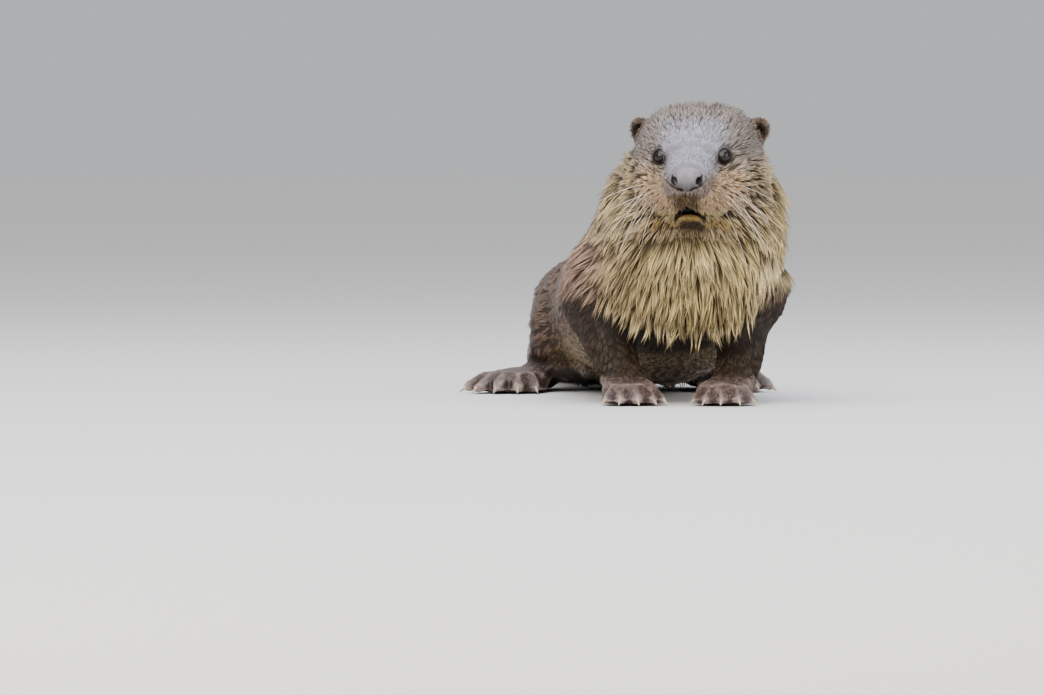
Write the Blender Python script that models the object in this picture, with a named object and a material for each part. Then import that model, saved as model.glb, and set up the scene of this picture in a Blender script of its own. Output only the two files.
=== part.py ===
"""Eurasian otter (Lutra lutra), life size, crouched on the floor with its chest and head raised.

Metres, +Z up, floor at z = 0. The animal faces -Y, its left side is at +X, and its trunk runs back
towards +Y and -X. The whole outline, coat included, is lofted through named cross-sections, fused
into one skin and parted with thin cuts into the sub-parts that a person would name.
"""

import math

import bmesh
import bpy
from mathutils import Matrix, Vector

MM = 0.001

# ---------------------------------------------------------------- driving dimensions
EYE_SPACING_MM = 44            # centre to centre
EYE_RADIUS_MM = 6.6
EYE_HEIGHT_MM = 182            # above the floor
CUT_MM = 0.35                  # gap between neighbouring sub-parts
CUT = CUT_MM * MM
SOCKET_MM = 0.9                # and round an ear, whose socket is coarser than it is

# ---------------------------------------------------------------- finish of each sub-part
COAT_BROWN = ("coat_brown", "7A6154", 0.62)
COAT_PALE = ("coat_pale", "B4A489", 0.62)
PAW_SKIN = ("paw_skin", "5E4A46", 0.5)
NOSE_SKIN = ("nose_skin", "6E6B74", 0.4)
EYE_GLOSS = ("eye_gloss", "120D0B", 0.08)
CLAW_HORN = ("claw_horn", "CDB9A2", 0.4)


def linear(hex_digit_pair):
    """One sRGB channel, as two hex digits, in linear light."""
    value = int(hex_digit_pair, 16) / 255
    return value / 12.92 if value <= 0.04045 else ((value + 0.055) / 1.055) ** 2.4


def material(name, hex_colour, roughness):
    """The Principled material of this name, made the first time it is asked for."""
    found = bpy.data.materials.get(name)
    if found:
        return found
    made = bpy.data.materials.new(name)
    made.use_nodes = True
    shader = made.node_tree.nodes["Principled BSDF"]
    rgb = [linear(hex_colour[i : i + 2]) for i in (0, 2, 4)]
    shader.inputs["Base Color"].default_value = (*rgb, 1)
    shader.inputs["Roughness"].default_value = roughness
    made.diffuse_color = (*rgb, 1)
    return made


def add_object(name, bm, finish=None, helper=False):
    """An object made from a bmesh. A helper is a cutter or a guide, and no sub-part."""
    mesh = bpy.data.meshes.new(name)
    bm.to_mesh(mesh)
    bm.free()
    obj = bpy.data.objects.new(name, mesh)
    bpy.context.scene.collection.objects.link(obj)
    if finish:
        mesh.materials.append(material(*finish))
    if helper:
        obj.hide_render = True
        obj.display_type = "WIRE"
    return obj


def add_object_of(name, mesh, finish):
    """An object made from its own copy of a mesh."""
    bm = bmesh.new()
    bm.from_mesh(mesh)
    return add_object(name, bm, finish)


# ---------------------------------------------------------------- lofting through sections
def smooth_rows(rows, steps):
    """Catmull-Rom rows through the given rows of numbers, with this many steps between each two."""
    padded = [rows[0], *rows, rows[-1]]
    made = []
    for a, b, c, d in zip(padded, padded[1:], padded[2:], padded[3:]):
        for step in range(steps):
            t = step / steps
            made.append(
                [
                    0.5 * (2 * q + (r - p) * t + (2 * p - 5 * q + 4 * r - s) * t**2
                           + (3 * q - p - 3 * r + s) * t**3)
                    for p, q, r, s in zip(a, b, c, d)
                ]
            )
    return made + [list(rows[-1])]


def ring(bm, centre, across, up, half_width, above, below, fullness, sides, cap):
    """One closed section: an ellipse, squared off where fullness is over 2."""
    made = bmesh.ops.create_circle(bm, cap_ends=cap, segments=sides, radius=1)["verts"]
    for vert in made:
        c, s = vert.co.x, vert.co.y
        x = math.copysign(abs(c) ** (2 / fullness), c) * half_width
        y = math.copysign(abs(s) ** (2 / fullness), s) * (above if s > 0 else below)
        vert.co = centre + across * x + up * y
    inside = set(made)
    return [e for v in made[:1] + made for e in v.link_edges if e.other_vert(v) in inside]


def loft(bm, sections, steps=4, sides=28):
    """A closed tube through sections of (x, y, z, half width, above, below, fullness) in mm.

    Each section stands square to the line through the centres, and its width stays level.
    """
    rows = smooth_rows(sections, steps)
    centres = [Vector(row[:3]) * MM for row in rows]
    rings = []
    across = None
    for i, row in enumerate(rows):
        ahead = centres[min(i + 1, len(rows) - 1)] - centres[max(i - 1, 0)]
        level = ahead.cross(Vector((0, 0, 1)))
        if level.length > 0.2 * ahead.length or across is None:
            across = level.normalized()
        across = (across - ahead * across.dot(ahead) / ahead.length_squared).normalized()
        up = across.cross(ahead).normalized()
        end = i in (0, len(rows) - 1)
        edges = ring(bm, centres[i], across, up, row[3] * MM, row[4] * MM, row[5] * MM,
                     row[6], sides, end)
        rings.append(list(dict.fromkeys(edges)))
    for first, second in zip(rings, rings[1:]):
        bmesh.ops.bridge_loops(bm, edges=first + second)


def ball(bm, centre, radii, turn=None):
    """An ellipsoid with its centre and three half axes in mm, turned by a matrix if one is given."""
    scale = Matrix.Diagonal((*[r * MM for r in radii], 1))
    place = Matrix.Translation(Vector(centre) * MM) @ (turn or Matrix.Identity(4)) @ scale
    bmesh.ops.create_icosphere(bm, subdivisions=4, radius=1, matrix=place)


def merge(bm, other, place):
    """Moves another bmesh by a matrix and adds it to this one."""
    bmesh.ops.transform(other, matrix=place, verts=other.verts)
    mesh = bpy.data.meshes.new("merged")
    other.to_mesh(mesh)
    other.free()
    bm.from_mesh(mesh)
    bpy.data.meshes.remove(mesh)


def euler(x=0, y=0, z=0):
    """A turn about X, then Y, then Z, in degrees."""
    turns = [Matrix.Rotation(math.radians(a), 4, axis) for a, axis in ((z, "Z"), (y, "Y"), (x, "X"))]
    return turns[0] @ turns[1] @ turns[2]


# ---------------------------------------------------------------- trunk and tail
# x, y, z of the centre, half width, above, below (mm), fullness
TRUNK_SECTIONS = (
    (5, -22, 172, 54, 40, 40, 2.2),       # inside the skull
    (4, 2, 150, 68, 54, 50, 2.2),         # neck
    (0, 30, 126, 74, 56, 62, 2.2),        # root of the neck
    (-9, 66, 98, 80, 58, 66, 2.2),        # shoulders
    (-22, 118, 76, 81, 58, 66, 2.2),      # ribs
    (-34, 190, 66, 74, 54, 62, 2.2),      # loin
    (-47, 268, 62, 71, 51, 62, 2.2),      # hips
    (-62, 335, 57, 66, 50, 59, 2.2),      # rump
)
TAIL_SECTIONS = (
    (-78, 395, 42, 47, 38, 44, 2.1),      # root of the tail
    (-90, 440, 30, 34, 28, 32, 2.1),
    (-104, 505, 22, 25, 21, 24, 2.1),
    (-112, 585, 16.5, 19, 16, 18, 2.1),
    (-106, 665, 12.5, 14.5, 12, 14, 2.1),
    (-88, 732, 9, 10.5, 8.5, 10, 2.1),
    (-64, 785, 5.5, 5, 4.5, 6.5, 2.0),
)
# x, y, z of the centre, the three half axes (mm), lean about X and Y (degrees)
CHEST_FORMS = (
    (1, -2, 94, 70, 58, 50, -8, 0),       # the full bib
    (4, -20, 134, 65, 42, 40, 0, 0),      # throat and ruff
    (0, -30, 116, 52, 34, 36, 0, 0),      # between the two
    (-62, 36, 86, 36, 46, 48, 0, 10),     # right shoulder
    (44, 26, 94, 31, 44, 46, 0, -8),      # left shoulder
)


def trunk_and_tail(bm):
    loft(bm, TRUNK_SECTIONS + TAIL_SECTIONS)
    for form in CHEST_FORMS:
        ball(bm, form[:3], form[3:6], euler(x=form[6], y=form[7]))


# ---------------------------------------------------------------- head
HEAD_YAW_DEG = -6.5        # the nose turns towards the animal's right
HEAD_PITCH_DEG = 13        # the nose dips
HEAD_PLACE = (
    Matrix.Translation(Vector((2, -58, EYE_HEIGHT_MM)) * MM)
    @ euler(z=HEAD_YAW_DEG) @ euler(x=HEAD_PITCH_DEG)
)
# ahead of the eyes, half width, above and below the eye level (mm), fullness
HEAD_SECTIONS = (
    (-80, 36, -4, -40, 2.1),     # nape
    (-64, 45, 13, -46, 2.2),     # back of the skull
    (-46, 48, 25, -49, 2.4),     # ears
    (-28, 47, 28.5, -50, 2.5),   # crown and cheeks
    (-11, 40, 24, -49, 2.4),
    (1, 33.5, 17.5, -48, 2.3),   # eyes
    (9, 25, 12.5, -47, 2.2),
    (16, 21.5, 9.5, -45, 2.2),
    (27, 21.5, 6.5, -42, 2.2),   # muzzle
    (36, 18.5, 4, -37, 2.2),
    (43.5, 18, 2, -29, 2.2),
    (49, 15.5, -1, -18, 2.1),    # front of the nose
)
EYE_AHEAD_MM = 8
NOSE_MM = {"ahead": 50, "up": -8, "half_width": 15.5, "half_height": 8.8, "half_depth": 10}
NOSTRIL_MM = {"ahead": 52, "side": 9.3, "up": -9, "radii": (2.6, 3.8, 3.2)}
MUZZLE_PAD = {"side": 15, "ahead": 21, "up": -23, "radii": (19, 19, 15)}
MOUTH_MM = {"ahead": 41, "up": -35, "radii": (12, 9, 2.6)}
CHIN = {"ahead": 17, "up": -41, "radii": (20, 20, 10)}
EAR_MM = {"side": 42.5, "ahead": -42, "up": 7, "radii": (8.8, 5.5, 10.2), "wall": 2.4}


def head(bm):
    """The skull, muzzle, lips and chin, in the head's own frame and then placed."""
    skull = bmesh.new()
    rows = [(0, -f, (top + bottom) / 2, half, (top - bottom) / 2, (top - bottom) / 2, full)
            for f, half, top, bottom, full in HEAD_SECTIONS]
    loft(skull, rows)
    for side in (-1, 1):
        pad = MUZZLE_PAD
        ball(skull, (side * pad["side"], -pad["ahead"], pad["up"]), pad["radii"], euler(z=side * 12))
        ball(skull, (side * 18, 12, 10), (14, 17, 10), euler(z=side * 20))     # brow
        ball(skull, (side * 21.5, 4.5, 0), (11, 10.5, 10))                     # rim of the eye
        ball(skull, (side * 25, 2, -22), (19, 26, 21), euler(z=side * 15))     # side of the muzzle
        ball(skull, (side * 31, 26, -20), (19, 30, 26))                        # cheek
    ball(skull, (0, -CHIN["ahead"], CHIN["up"]), CHIN["radii"])
    ball(skull, (0, -45, NOSE_MM["up"] - 1), (16, 8, 8.2))
    merge(bm, skull, HEAD_PLACE)


# ---------------------------------------------------------------- legs and feet
TOES = 5
TOE_FAN_DEG = 17           # between neighbouring toes


def toe_lines(foot):
    """For each toe of a foot: its root, knuckle and tip in world mm, and its heading."""
    lines = []
    for n in range(TOES):
        spread = n - (TOES - 1) / 2
        heading = math.radians(foot["heading"] + foot["side"] * spread * TOE_FAN_DEG)
        ahead = Vector((math.sin(heading), -math.cos(heading), 0))
        length = foot["toe"] * (1 - 0.045 * (spread - 0.4) ** 2)
        root = Vector(foot["palm"]) + ahead * foot["palm_radius"] * 0.45
        lines.append(
            {
                "root": root,
                "knuckle": root + ahead * length * 0.55 + Vector((0, 0, 0.12 * foot["thick"])),
                "tip": Vector((*(root + ahead * length).xy, foot["toe_radius"] * 0.82)),
                "ahead": ahead,
            }
        )
    return lines


FORE = {"palm_radius": 21, "thick": 17, "toe": 31, "toe_radius": 5.4}
HIND = {"palm_radius": 23, "thick": 17, "toe": 42, "toe_radius": 5.8}
FEET = {
    "forepaw_right": {**FORE, "side": -1, "palm": (-44, -32, 10), "heading": 8},
    "forepaw_left": {**FORE, "side": 1, "palm": (25, -34, 10), "heading": -4},
    "hind_foot_right": {**HIND, "side": -1, "palm": (-128, 226, 10), "heading": -18},
    "hind_foot_left": {**HIND, "side": 1, "palm": (28, 260, 10), "heading": 6},
}
# x, y, z of the centre, half width, above, below (mm), fullness
LEG_SECTIONS = {
    "foreleg_right": (
        (-56, 34, 90, 34, 34, 34, 2.1),
        (-60, 27, 56, 26, 27, 27, 2.1),      # elbow
        (-55, 4, 34, 20, 19, 19, 2.1),
        (-48, -18, 17, 17, 14, 13, 2.2),     # wrist
        (-44, -34, 11, 18, 10, 10, 2.2),
    ),
    "foreleg_left": (
        (38, 30, 90, 31, 34, 34, 2.1),
        (38, 24, 56, 22, 27, 27, 2.1),
        (36, 3, 34, 20, 19, 19, 2.1),
        (30, -20, 17, 17, 14, 13, 2.2),
        (26, -36, 11, 18, 10, 10, 2.2),
    ),
    "shank_right": (
        (-98, 236, 40, 25, 27, 27, 2.1),     # knee
        (-104, 270, 30, 21, 22, 22, 2.1),
        (-110, 298, 17, 17, 16, 16, 2.2),    # heel
        (-116, 274, 11, 17, 11, 11, 2.3),
        (-126, 240, 11, 20, 10, 10, 2.3),    # instep
    ),
    "shank_left": (
        (4, 252, 40, 25, 27, 27, 2.1),
        (4, 298, 30, 21, 22, 22, 2.1),
        (4, 328, 17, 17, 16, 16, 2.2),
        (12, 306, 11, 17, 11, 11, 2.3),
        (25, 270, 11, 20, 10, 10, 2.3),
    ),
}
HAUNCHES = {
    "right": {"centre": (-91, 268, 50), "radii": (33, 66, 44), "turn": euler(z=-12, x=8)},
    "left": {"centre": (-5, 290, 50), "radii": (34, 66, 44), "turn": euler(z=-12, x=8)},
}


def foot(bm, shape):
    """A palm, five round toes and the web between them."""
    x, y, z = shape["palm"]
    ball(bm, (x, y, z), (shape["palm_radius"], shape["palm_radius"] * 1.05, shape["thick"] * 0.62))
    for line in toe_lines(shape):
        radius = shape["toe_radius"]
        rows = [(*line["root"], radius * 1.1, radius * 1.1, radius * 1.1, 2),
                (*line["knuckle"], radius, radius * 0.95, radius, 2),
                (*line["tip"], radius * 0.92, radius * 0.72, radius * 0.9, 2)]
        loft(bm, rows, sides=14)
        ball(bm, line["tip"] + line["ahead"] * 1.2, (radius * 0.95, radius * 0.95, radius * 0.8))
    ahead = toe_lines(shape)[TOES // 2]["ahead"]
    web = Vector((x, y, 3.4)) + ahead * shape["toe"] * 0.42
    ball(bm, web, (shape["palm_radius"] * 1.2, shape["toe"] * 0.78, 3.6),
         euler(z=shape["heading"]))


def legs(bm):
    for sections in LEG_SECTIONS.values():
        loft(bm, sections, sides=20)
    for haunch in HAUNCHES.values():
        ball(bm, haunch["centre"], haunch["radii"], haunch["turn"])
    for shape in FEET.values():
        foot(bm, shape)


# ---------------------------------------------------------------- one fused outline
VOXEL_MM = 2.0
SHARP_STEPS = 9            # smoothing steps on the head and feet
SOFT_STEPS = 90            # and on the trunk, where forms melt into each other
HEAD_FACES = 1100          # triangles of the head, before it is parted
BODY_FACES = 1950          # and of everything behind it
SPARE = 3 * MM             # the head and body are thinned apart, with this much spare for the cut


def on_head(point):
    """How far ahead of the eyes, to their left and above them a point is, in mm."""
    local = HEAD_PLACE.inverted() @ point
    return -local.y / MM, local.x / MM, local.z / MM


def near_foot(point):
    """Whether a point is on or just above one of the feet."""
    return point.z < 26 * MM and any(
        (point.xy - Vector(shape["palm"][:2]) * MM).length < 1.6 * shape["toe"] * MM
        for shape in FEET.values()
    )


def softness(point):
    """How far the forms melt together: fully on the trunk, little on the head, legs and tail."""
    ahead, _, up = on_head(point)
    if near_foot(point) or (ahead > -50 and up > -56):
        return 0.0
    if point.y > TAIL_SECTIONS[0][1] * MM:
        return 0.06
    return 1.0 if point.z > 30 * MM else 0.25


def evaluated(obj):
    """A copy of the object's mesh with its modifiers applied."""
    bpy.context.view_layer.update()
    graph = bpy.context.evaluated_depsgraph_get()
    return bpy.data.meshes.new_from_object(obj.evaluated_get(graph))


def with_modifiers(mesh, *modifiers, weights=()):
    """The mesh with modifiers applied, each a type and its settings. Weights has one for each vertex."""
    obj = bpy.data.objects.new("outline", mesh)
    bpy.context.scene.collection.objects.link(obj)
    if weights:
        group = obj.vertex_groups.new(name="weights")
        for index, weight in enumerate(weights):
            group.add([index], weight, "REPLACE")
    for kind, settings in modifiers:
        modifier = obj.modifiers.new(kind.lower(), kind)
        for name, value in settings.items():
            setattr(modifier, name, value)
    made = evaluated(obj)
    bpy.data.objects.remove(obj)
    return made


def fused_outline():
    """Every form above as one closed, smooth mesh."""
    bm = bmesh.new()
    trunk_and_tail(bm)
    head(bm)
    legs(bm)
    bmesh.ops.recalc_face_normals(bm, faces=bm.faces)
    forms = bpy.data.meshes.new("forms")
    bm.to_mesh(forms)
    bm.free()
    fused = with_modifiers(
        forms,
        ("REMESH", {"mode": "VOXEL", "voxel_size": VOXEL_MM * MM}),
        ("SMOOTH", {"factor": 0.5, "iterations": SHARP_STEPS}),
    )
    return with_modifiers(
        fused,
        ("SMOOTH", {"factor": 0.5, "iterations": SOFT_STEPS, "vertex_group": "weights"}),
        weights=[softness(v.co) for v in fused.vertices],
    )


def thinned_side(mesh, point, ahead, faces):
    """What lies ahead of a plane, closed and thinned to about this many triangles."""
    bm = bmesh.new()
    bm.from_mesh(mesh)
    bmesh.ops.bisect_plane(bm, geom=bm.verts[:] + bm.edges[:] + bm.faces[:],
                           plane_co=point, plane_no=ahead, clear_inner=True)
    bmesh.ops.holes_fill(bm, edges=[e for e in bm.edges if e.is_boundary])
    bmesh.ops.triangulate(bm, faces=bm.faces)
    share = faces / len(bm.faces)
    side = bpy.data.meshes.new("side")
    bm.to_mesh(side)
    bm.free()
    return with_modifiers(side, ("DECIMATE", {"ratio": share, "use_collapse_triangulate": True}))


# ---------------------------------------------------------------- where the outline is parted
WIDE = 420                 # wider than the animal, mm


def facing(ahead):
    """A turn that takes -Y to this direction and keeps X level."""
    return Vector(ahead).to_track_quat("-Y", "Z").to_matrix().to_4x4()


HEAD_CUT_LEAN_DEG = 53     # the cut leans from the nape forward to the throat
HEAD_CUT = HEAD_PLACE @ Matrix.Translation(Vector((0, 28, -15)) * MM) @ euler(x=-HEAD_CUT_LEAN_DEG)
TRUNK_AHEAD = (0.2, -0.98, 0)
TRUNK_BACK = (-0.2, 0.98, 0)
# the middle of a block's first face, its direction, and its length, width and height, in mm
BLOCKS = {
    "neck": ((0, -4, 125), (0, -0.64, 0.77), (150, WIDE, WIDE)),
    "chest": ((-34, 176, 66), TRUNK_AHEAD, (WIDE, WIDE, WIDE)),
    "loins": ((-34, 176, 66), TRUNK_BACK, (250, WIDE, WIDE)),
    "tail_root": ((-80, 401, 40), TRUNK_BACK, (160, 200, 200)),
    "tail_middle": ((-106, 520, 20), (-0.1, 1, 0), (170, 200, 200)),
    "tail_tip": ((-109, 650, 10), (0.2, 1, 0), (200, 200, 200)),
    "foreleg_right": ((-62, 8, 39), (0, -0.24, -0.97), (70, 84, 80)),
    "foreleg_left": ((44, 8, 39), (0, -0.24, -0.97), (70, 84, 80)),
    "forepaw_right": ((-47, -20, 10), (0.08, -1, -0.05), (90, 66, 60)),
    "forepaw_left": ((29, -22, 10), (-0.04, -1, -0.05), (90, 60, 60)),
    "hind_foot_right": ((-112, 312, 4), (-0.24, -1, 0), (148, 62, 34)),
    "hind_foot_left": ((15, 342, 4), (0.16, -1, 0), (148, 66, 34)),
}
JAW_TOP_MM = -34           # where the lips meet, below the eyes
# an oval drum parts the thighs from the flank and the pale bib from the neck and chest:
# the middle of its first face, its direction, its length and the oval's half axes
DRUMS = {
    "thigh_right": ((-76, 262, 49), (-0.98, -0.2, 0), 90, (56, 42)),
    "thigh_left": ((-22, 284, 49), (0.98, 0.2, 0), 90, (56, 42)),
    "bib": ((2, -10, 97), (0, -1, 0), 130, (64, 53)),
}
# each sub-part of the flesh: the blocks that hold it, and the blocks of its neighbours
PARTED = {
    "head": (["head"], ["jaw"]),
    "jaw": (["head", "jaw"], []),
    "bib": (["bib"], ["head"]),
    "neck": (["neck"], ["head", "bib"]),
    "chest": (["chest"], ["head", "neck", "bib", "loins", "foreleg_right", "foreleg_left",
                          "forepaw_right", "forepaw_left"]),
    "loins": (["loins"], ["tail_root", "thigh_right", "thigh_left", "hind_foot_right",
                          "hind_foot_left"]),
    "tail_root": (["tail_root"], ["tail_middle"]),
    "tail_middle": (["tail_middle"], ["tail_tip"]),
    "tail_tip": (["tail_tip"], []),
    "foreleg_right": (["foreleg_right"], ["forepaw_right"]),
    "foreleg_left": (["foreleg_left"], ["forepaw_left"]),
    "forepaw_right": (["forepaw_right"], []),
    "forepaw_left": (["forepaw_left"], []),
    "thigh_right": (["thigh_right"], ["hind_foot_right"]),
    "thigh_left": (["thigh_left"], ["hind_foot_left"]),
    "hind_foot_right": (["hind_foot_right"], []),
    "hind_foot_left": (["hind_foot_left"], []),
}


def block_mesh(name, grow):
    """The solid that holds one sub-part, larger all round by grow."""
    bm = bmesh.new()
    if name in DRUMS:
        start, ahead, length, (half_long, half_high) = DRUMS[name]
        place = Matrix.Translation(Vector(start) * MM) @ facing(ahead)
        bmesh.ops.create_cone(bm, cap_ends=True, segments=40, radius1=1, radius2=1, depth=1)
        bmesh.ops.rotate(bm, verts=bm.verts, matrix=Matrix.Rotation(math.pi / 2, 3, "X"))
        size = Vector((2 * half_long, length, 2 * half_high)) * MM / 2
        size.y *= 2
    elif name == "head":
        place, size = HEAD_CUT, Vector((WIDE, 200, WIDE)) * MM
        bmesh.ops.create_cube(bm, size=1)
    elif name == "jaw":
        place = HEAD_PLACE @ Matrix.Translation(Vector((0, 22, JAW_TOP_MM - 30)) * MM)
        size = Vector((WIDE, 120, 60)) * MM
        bmesh.ops.create_cube(bm, size=1)
    else:
        start, ahead, (length, width, height) = BLOCKS[name]
        place = Matrix.Translation(Vector(start) * MM) @ facing(ahead)
        size = Vector((width, length, height)) * MM
        bmesh.ops.create_cube(bm, size=1)
    bmesh.ops.translate(bm, verts=bm.verts, vec=(0, -0.5, 0))
    bmesh.ops.scale(bm, verts=bm.verts, vec=size)
    for vert in bm.verts:
        middle = Vector((0, -size.y / 2, 0))
        away = vert.co - middle
        vert.co = middle + Vector(math.copysign(abs(a) + grow, a) if abs(a) > grow else a
                                  for a in away)
    bmesh.ops.transform(bm, matrix=place, verts=bm.verts)
    bmesh.ops.recalc_face_normals(bm, faces=bm.faces)
    return bm


CUTTERS = {}


def cutter(name, grow=0.0):
    """The helper object that cuts along this sub-part's block."""
    key = f"cut.{name}.{'wide' if grow else 'true'}"
    if key not in CUTTERS:
        CUTTERS[key] = add_object(key, block_mesh(name, grow), helper=True)
    return CUTTERS[key]


def boolean(obj, tool, operation):
    modifier = obj.modifiers.new(f"{operation.lower()} {tool.name}", "BOOLEAN")
    modifier.operation = operation
    modifier.object = tool
    return modifier


def part_flesh(meshes):
    """One object for each sub-part of the flesh."""
    made = {}
    floor = add_object("cut.floor", floor_block(), helper=True)
    for name, (holders, neighbours) in PARTED.items():
        side = meshes["head" if name in ("head", "jaw") else "body"]
        obj = add_object_of(name, side, finish_of(name))
        for holder in holders:
            boolean(obj, cutter(holder), "INTERSECT")
        for neighbour in neighbours:
            boolean(obj, cutter(neighbour, CUT), "DIFFERENCE")
        if name not in ("head", "jaw", "neck", "bib"):
            boolean(obj, floor, "DIFFERENCE")
        made[name] = obj
    return made


def finish_of(name):
    if name.startswith(("forepaw", "hind_foot")):
        return PAW_SKIN
    return COAT_PALE if name in ("jaw", "bib") else COAT_BROWN


def floor_block():
    """Everything below the floor, which leaves small flats where the animal rests on it."""
    bm = bmesh.new()
    bmesh.ops.create_cube(bm, size=2, matrix=Matrix.Translation((0, 0, -1)))
    return bm


# ---------------------------------------------------------------- eyes, ears, nose and claws
def head_point(ahead, side, up):
    """A place given from between the eyes, in mm, in the world's metres."""
    return HEAD_PLACE @ (Vector((side, -ahead, up)) * MM)


def oval(name, ahead, side, up, radii, grow_mm=0.0, turn=None, sides=14, finish=None):
    """An ellipsoid in the head's own frame, with this many sides seen from ahead."""
    bm = bmesh.new()
    place = (HEAD_PLACE @ Matrix.Translation(Vector((side, -ahead, up)) * MM)
             @ (turn or Matrix.Identity(4)))
    size = Matrix.Diagonal((*[(r + grow_mm) * MM for r in radii], 1))
    bmesh.ops.create_uvsphere(bm, u_segments=sides, v_segments=sides // 2, radius=1,
                              matrix=place @ size @ euler(x=90))
    return add_object(name, bm, finish, helper=finish is None)


def eyes_and_ears(head_obj):
    """Round eyes set in the head, and cupped ears that open forwards."""
    for label, side in (("right", -1), ("left", 1)):
        eye = (EYE_AHEAD_MM, side * EYE_SPACING_MM / 2, 0, [EYE_RADIUS_MM] * 3)
        oval(f"eye_{label}", *eye, finish=EYE_GLOSS)
        boolean(head_obj, oval(f"cut.eye_{label}", *eye, grow_mm=CUT_MM), "DIFFERENCE")
        radii = EAR_MM["radii"]
        place = (EAR_MM["ahead"], side * EAR_MM["side"], EAR_MM["up"])
        turn = euler(z=side * 28) @ euler(y=side * 12)
        flap = oval(f"ear_{label}", *place, radii, turn=turn, finish=COAT_BROWN)
        bowl = oval(f"cut.bowl_{label}", place[0] + 4.4, place[1] - side * 0.5, place[2] - 0.5,
                    (radii[0] - EAR_MM["wall"], radii[1] * 0.75, radii[2] - EAR_MM["wall"] - 0.4),
                    turn=turn, sides=10)
        boolean(flap, bowl, "DIFFERENCE")
        boolean(head_obj, oval(f"cut.ear_{label}", *place, radii, grow_mm=SOCKET_MM, turn=turn,
                               sides=10), "DIFFERENCE")


def nose_and_mouth(meshes, flesh):
    """The nose pad is the front of the muzzle, parted from it and pierced by two nostrils."""
    radii = (NOSE_MM["half_width"], NOSE_MM["half_depth"], NOSE_MM["half_height"])
    place = (NOSE_MM["ahead"], 0, NOSE_MM["up"], radii)
    nose = add_object_of("nose", meshes["head"], NOSE_SKIN)
    boolean(nose, oval("cut.nose.true", *place, sides=20), "INTERSECT")
    boolean(flesh["head"], oval("cut.nose.wide", *place, grow_mm=CUT_MM, sides=20), "DIFFERENCE")
    for label, side in (("right", -1), ("left", 1)):
        nostril = oval(f"cut.nostril_{label}", NOSTRIL_MM["ahead"], side * NOSTRIL_MM["side"],
                       NOSTRIL_MM["up"], NOSTRIL_MM["radii"], turn=euler(z=side * 30), sides=8)
        boolean(nose, nostril, "DIFFERENCE")
    mouth = oval("cut.mouth", MOUTH_MM["ahead"], 0, MOUTH_MM["up"], MOUTH_MM["radii"], sides=10)
    for name in ("head", "jaw"):
        boolean(flesh[name], mouth, "DIFFERENCE")


CLAW_MM = {"length": 8, "root": 2.3, "tip": 0.6}


def claw(name, tip, ahead, radius, grow_mm, finish):
    """A claw that leaves the top of a toe and curves down to just above the floor."""
    root = tip - ahead * 3 + Vector((0, 0, radius * 0.25))
    point = tip + ahead * (radius * 0.9 + CLAW_MM["length"] * 0.55)
    point.z = 1.1
    middle = (root + point) / 2 + Vector((0, 0, 1.5))
    rows = []
    for share, place in ((0, root), (0.5, middle), (1, point)):
        r = CLAW_MM["root"] + (CLAW_MM["tip"] - CLAW_MM["root"]) * share ** 1.3 + grow_mm
        rows.append((*place, r * 0.85, r, r, 2))
    bm = bmesh.new()
    loft(bm, rows, steps=1, sides=6)
    bmesh.ops.recalc_face_normals(bm, faces=bm.faces)
    return add_object(name, bm, finish, helper=finish is None)


def claws(flesh):
    for foot_name, shape in FEET.items():
        for n, line in enumerate(toe_lines(shape), start=1):
            facts = (line["tip"], line["ahead"], shape["toe_radius"])
            claw(f"claw_{foot_name}_{n}", *facts, 0.0, CLAW_HORN)
            boolean(flesh[foot_name], claw(f"cut.claw_{foot_name}_{n}", *facts, CUT_MM, None),
                    "DIFFERENCE")


def centre_on_origin():
    """Stands the animal with the middle of its footprint at the origin."""
    bpy.context.view_layer.update()
    graph = bpy.context.evaluated_depsgraph_get()
    corners = [Vector(corner) for obj in bpy.data.objects if not obj.hide_render
               for corner in obj.evaluated_get(graph).bound_box]
    middle = [(min(c[i] for c in corners) + max(c[i] for c in corners)) / 2 for i in (0, 1)]
    otter = bpy.data.objects.new("otter", None)
    otter.location = (-middle[0], -middle[1], 0)
    bpy.context.scene.collection.objects.link(otter)
    for obj in bpy.data.objects:
        if obj is not otter:
            obj.parent = otter


def main():
    for obj in list(bpy.data.objects):
        bpy.data.objects.remove(obj)
    outline = fused_outline()
    middle = HEAD_CUT.translation
    ahead = HEAD_CUT.to_3x3() @ Vector((0, -1, 0))
    meshes = {
        "head": thinned_side(outline, middle - ahead * SPARE, ahead, HEAD_FACES),
        "body": thinned_side(outline, middle + ahead * SPARE, -ahead, BODY_FACES),
    }
    flesh = part_flesh(meshes)
    eyes_and_ears(flesh["head"])
    nose_and_mouth(meshes, flesh)
    claws(flesh)
    centre_on_origin()


main()
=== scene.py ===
"""Eurasian otter, a life-size museum model, crouched with its chest and head raised.

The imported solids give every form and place. One hide follows them, a coat's depth further in, and
the wet coat is laid over it in tufts. Metres, +Z up; the animal faces -Y and its left is at +X.
"""

import math

import bmesh
import bpy
import numpy as np
from mathutils import Matrix, Vector
from mathutils.bvhtree import BVHTree
from mathutils.kdtree import KDTree


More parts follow.
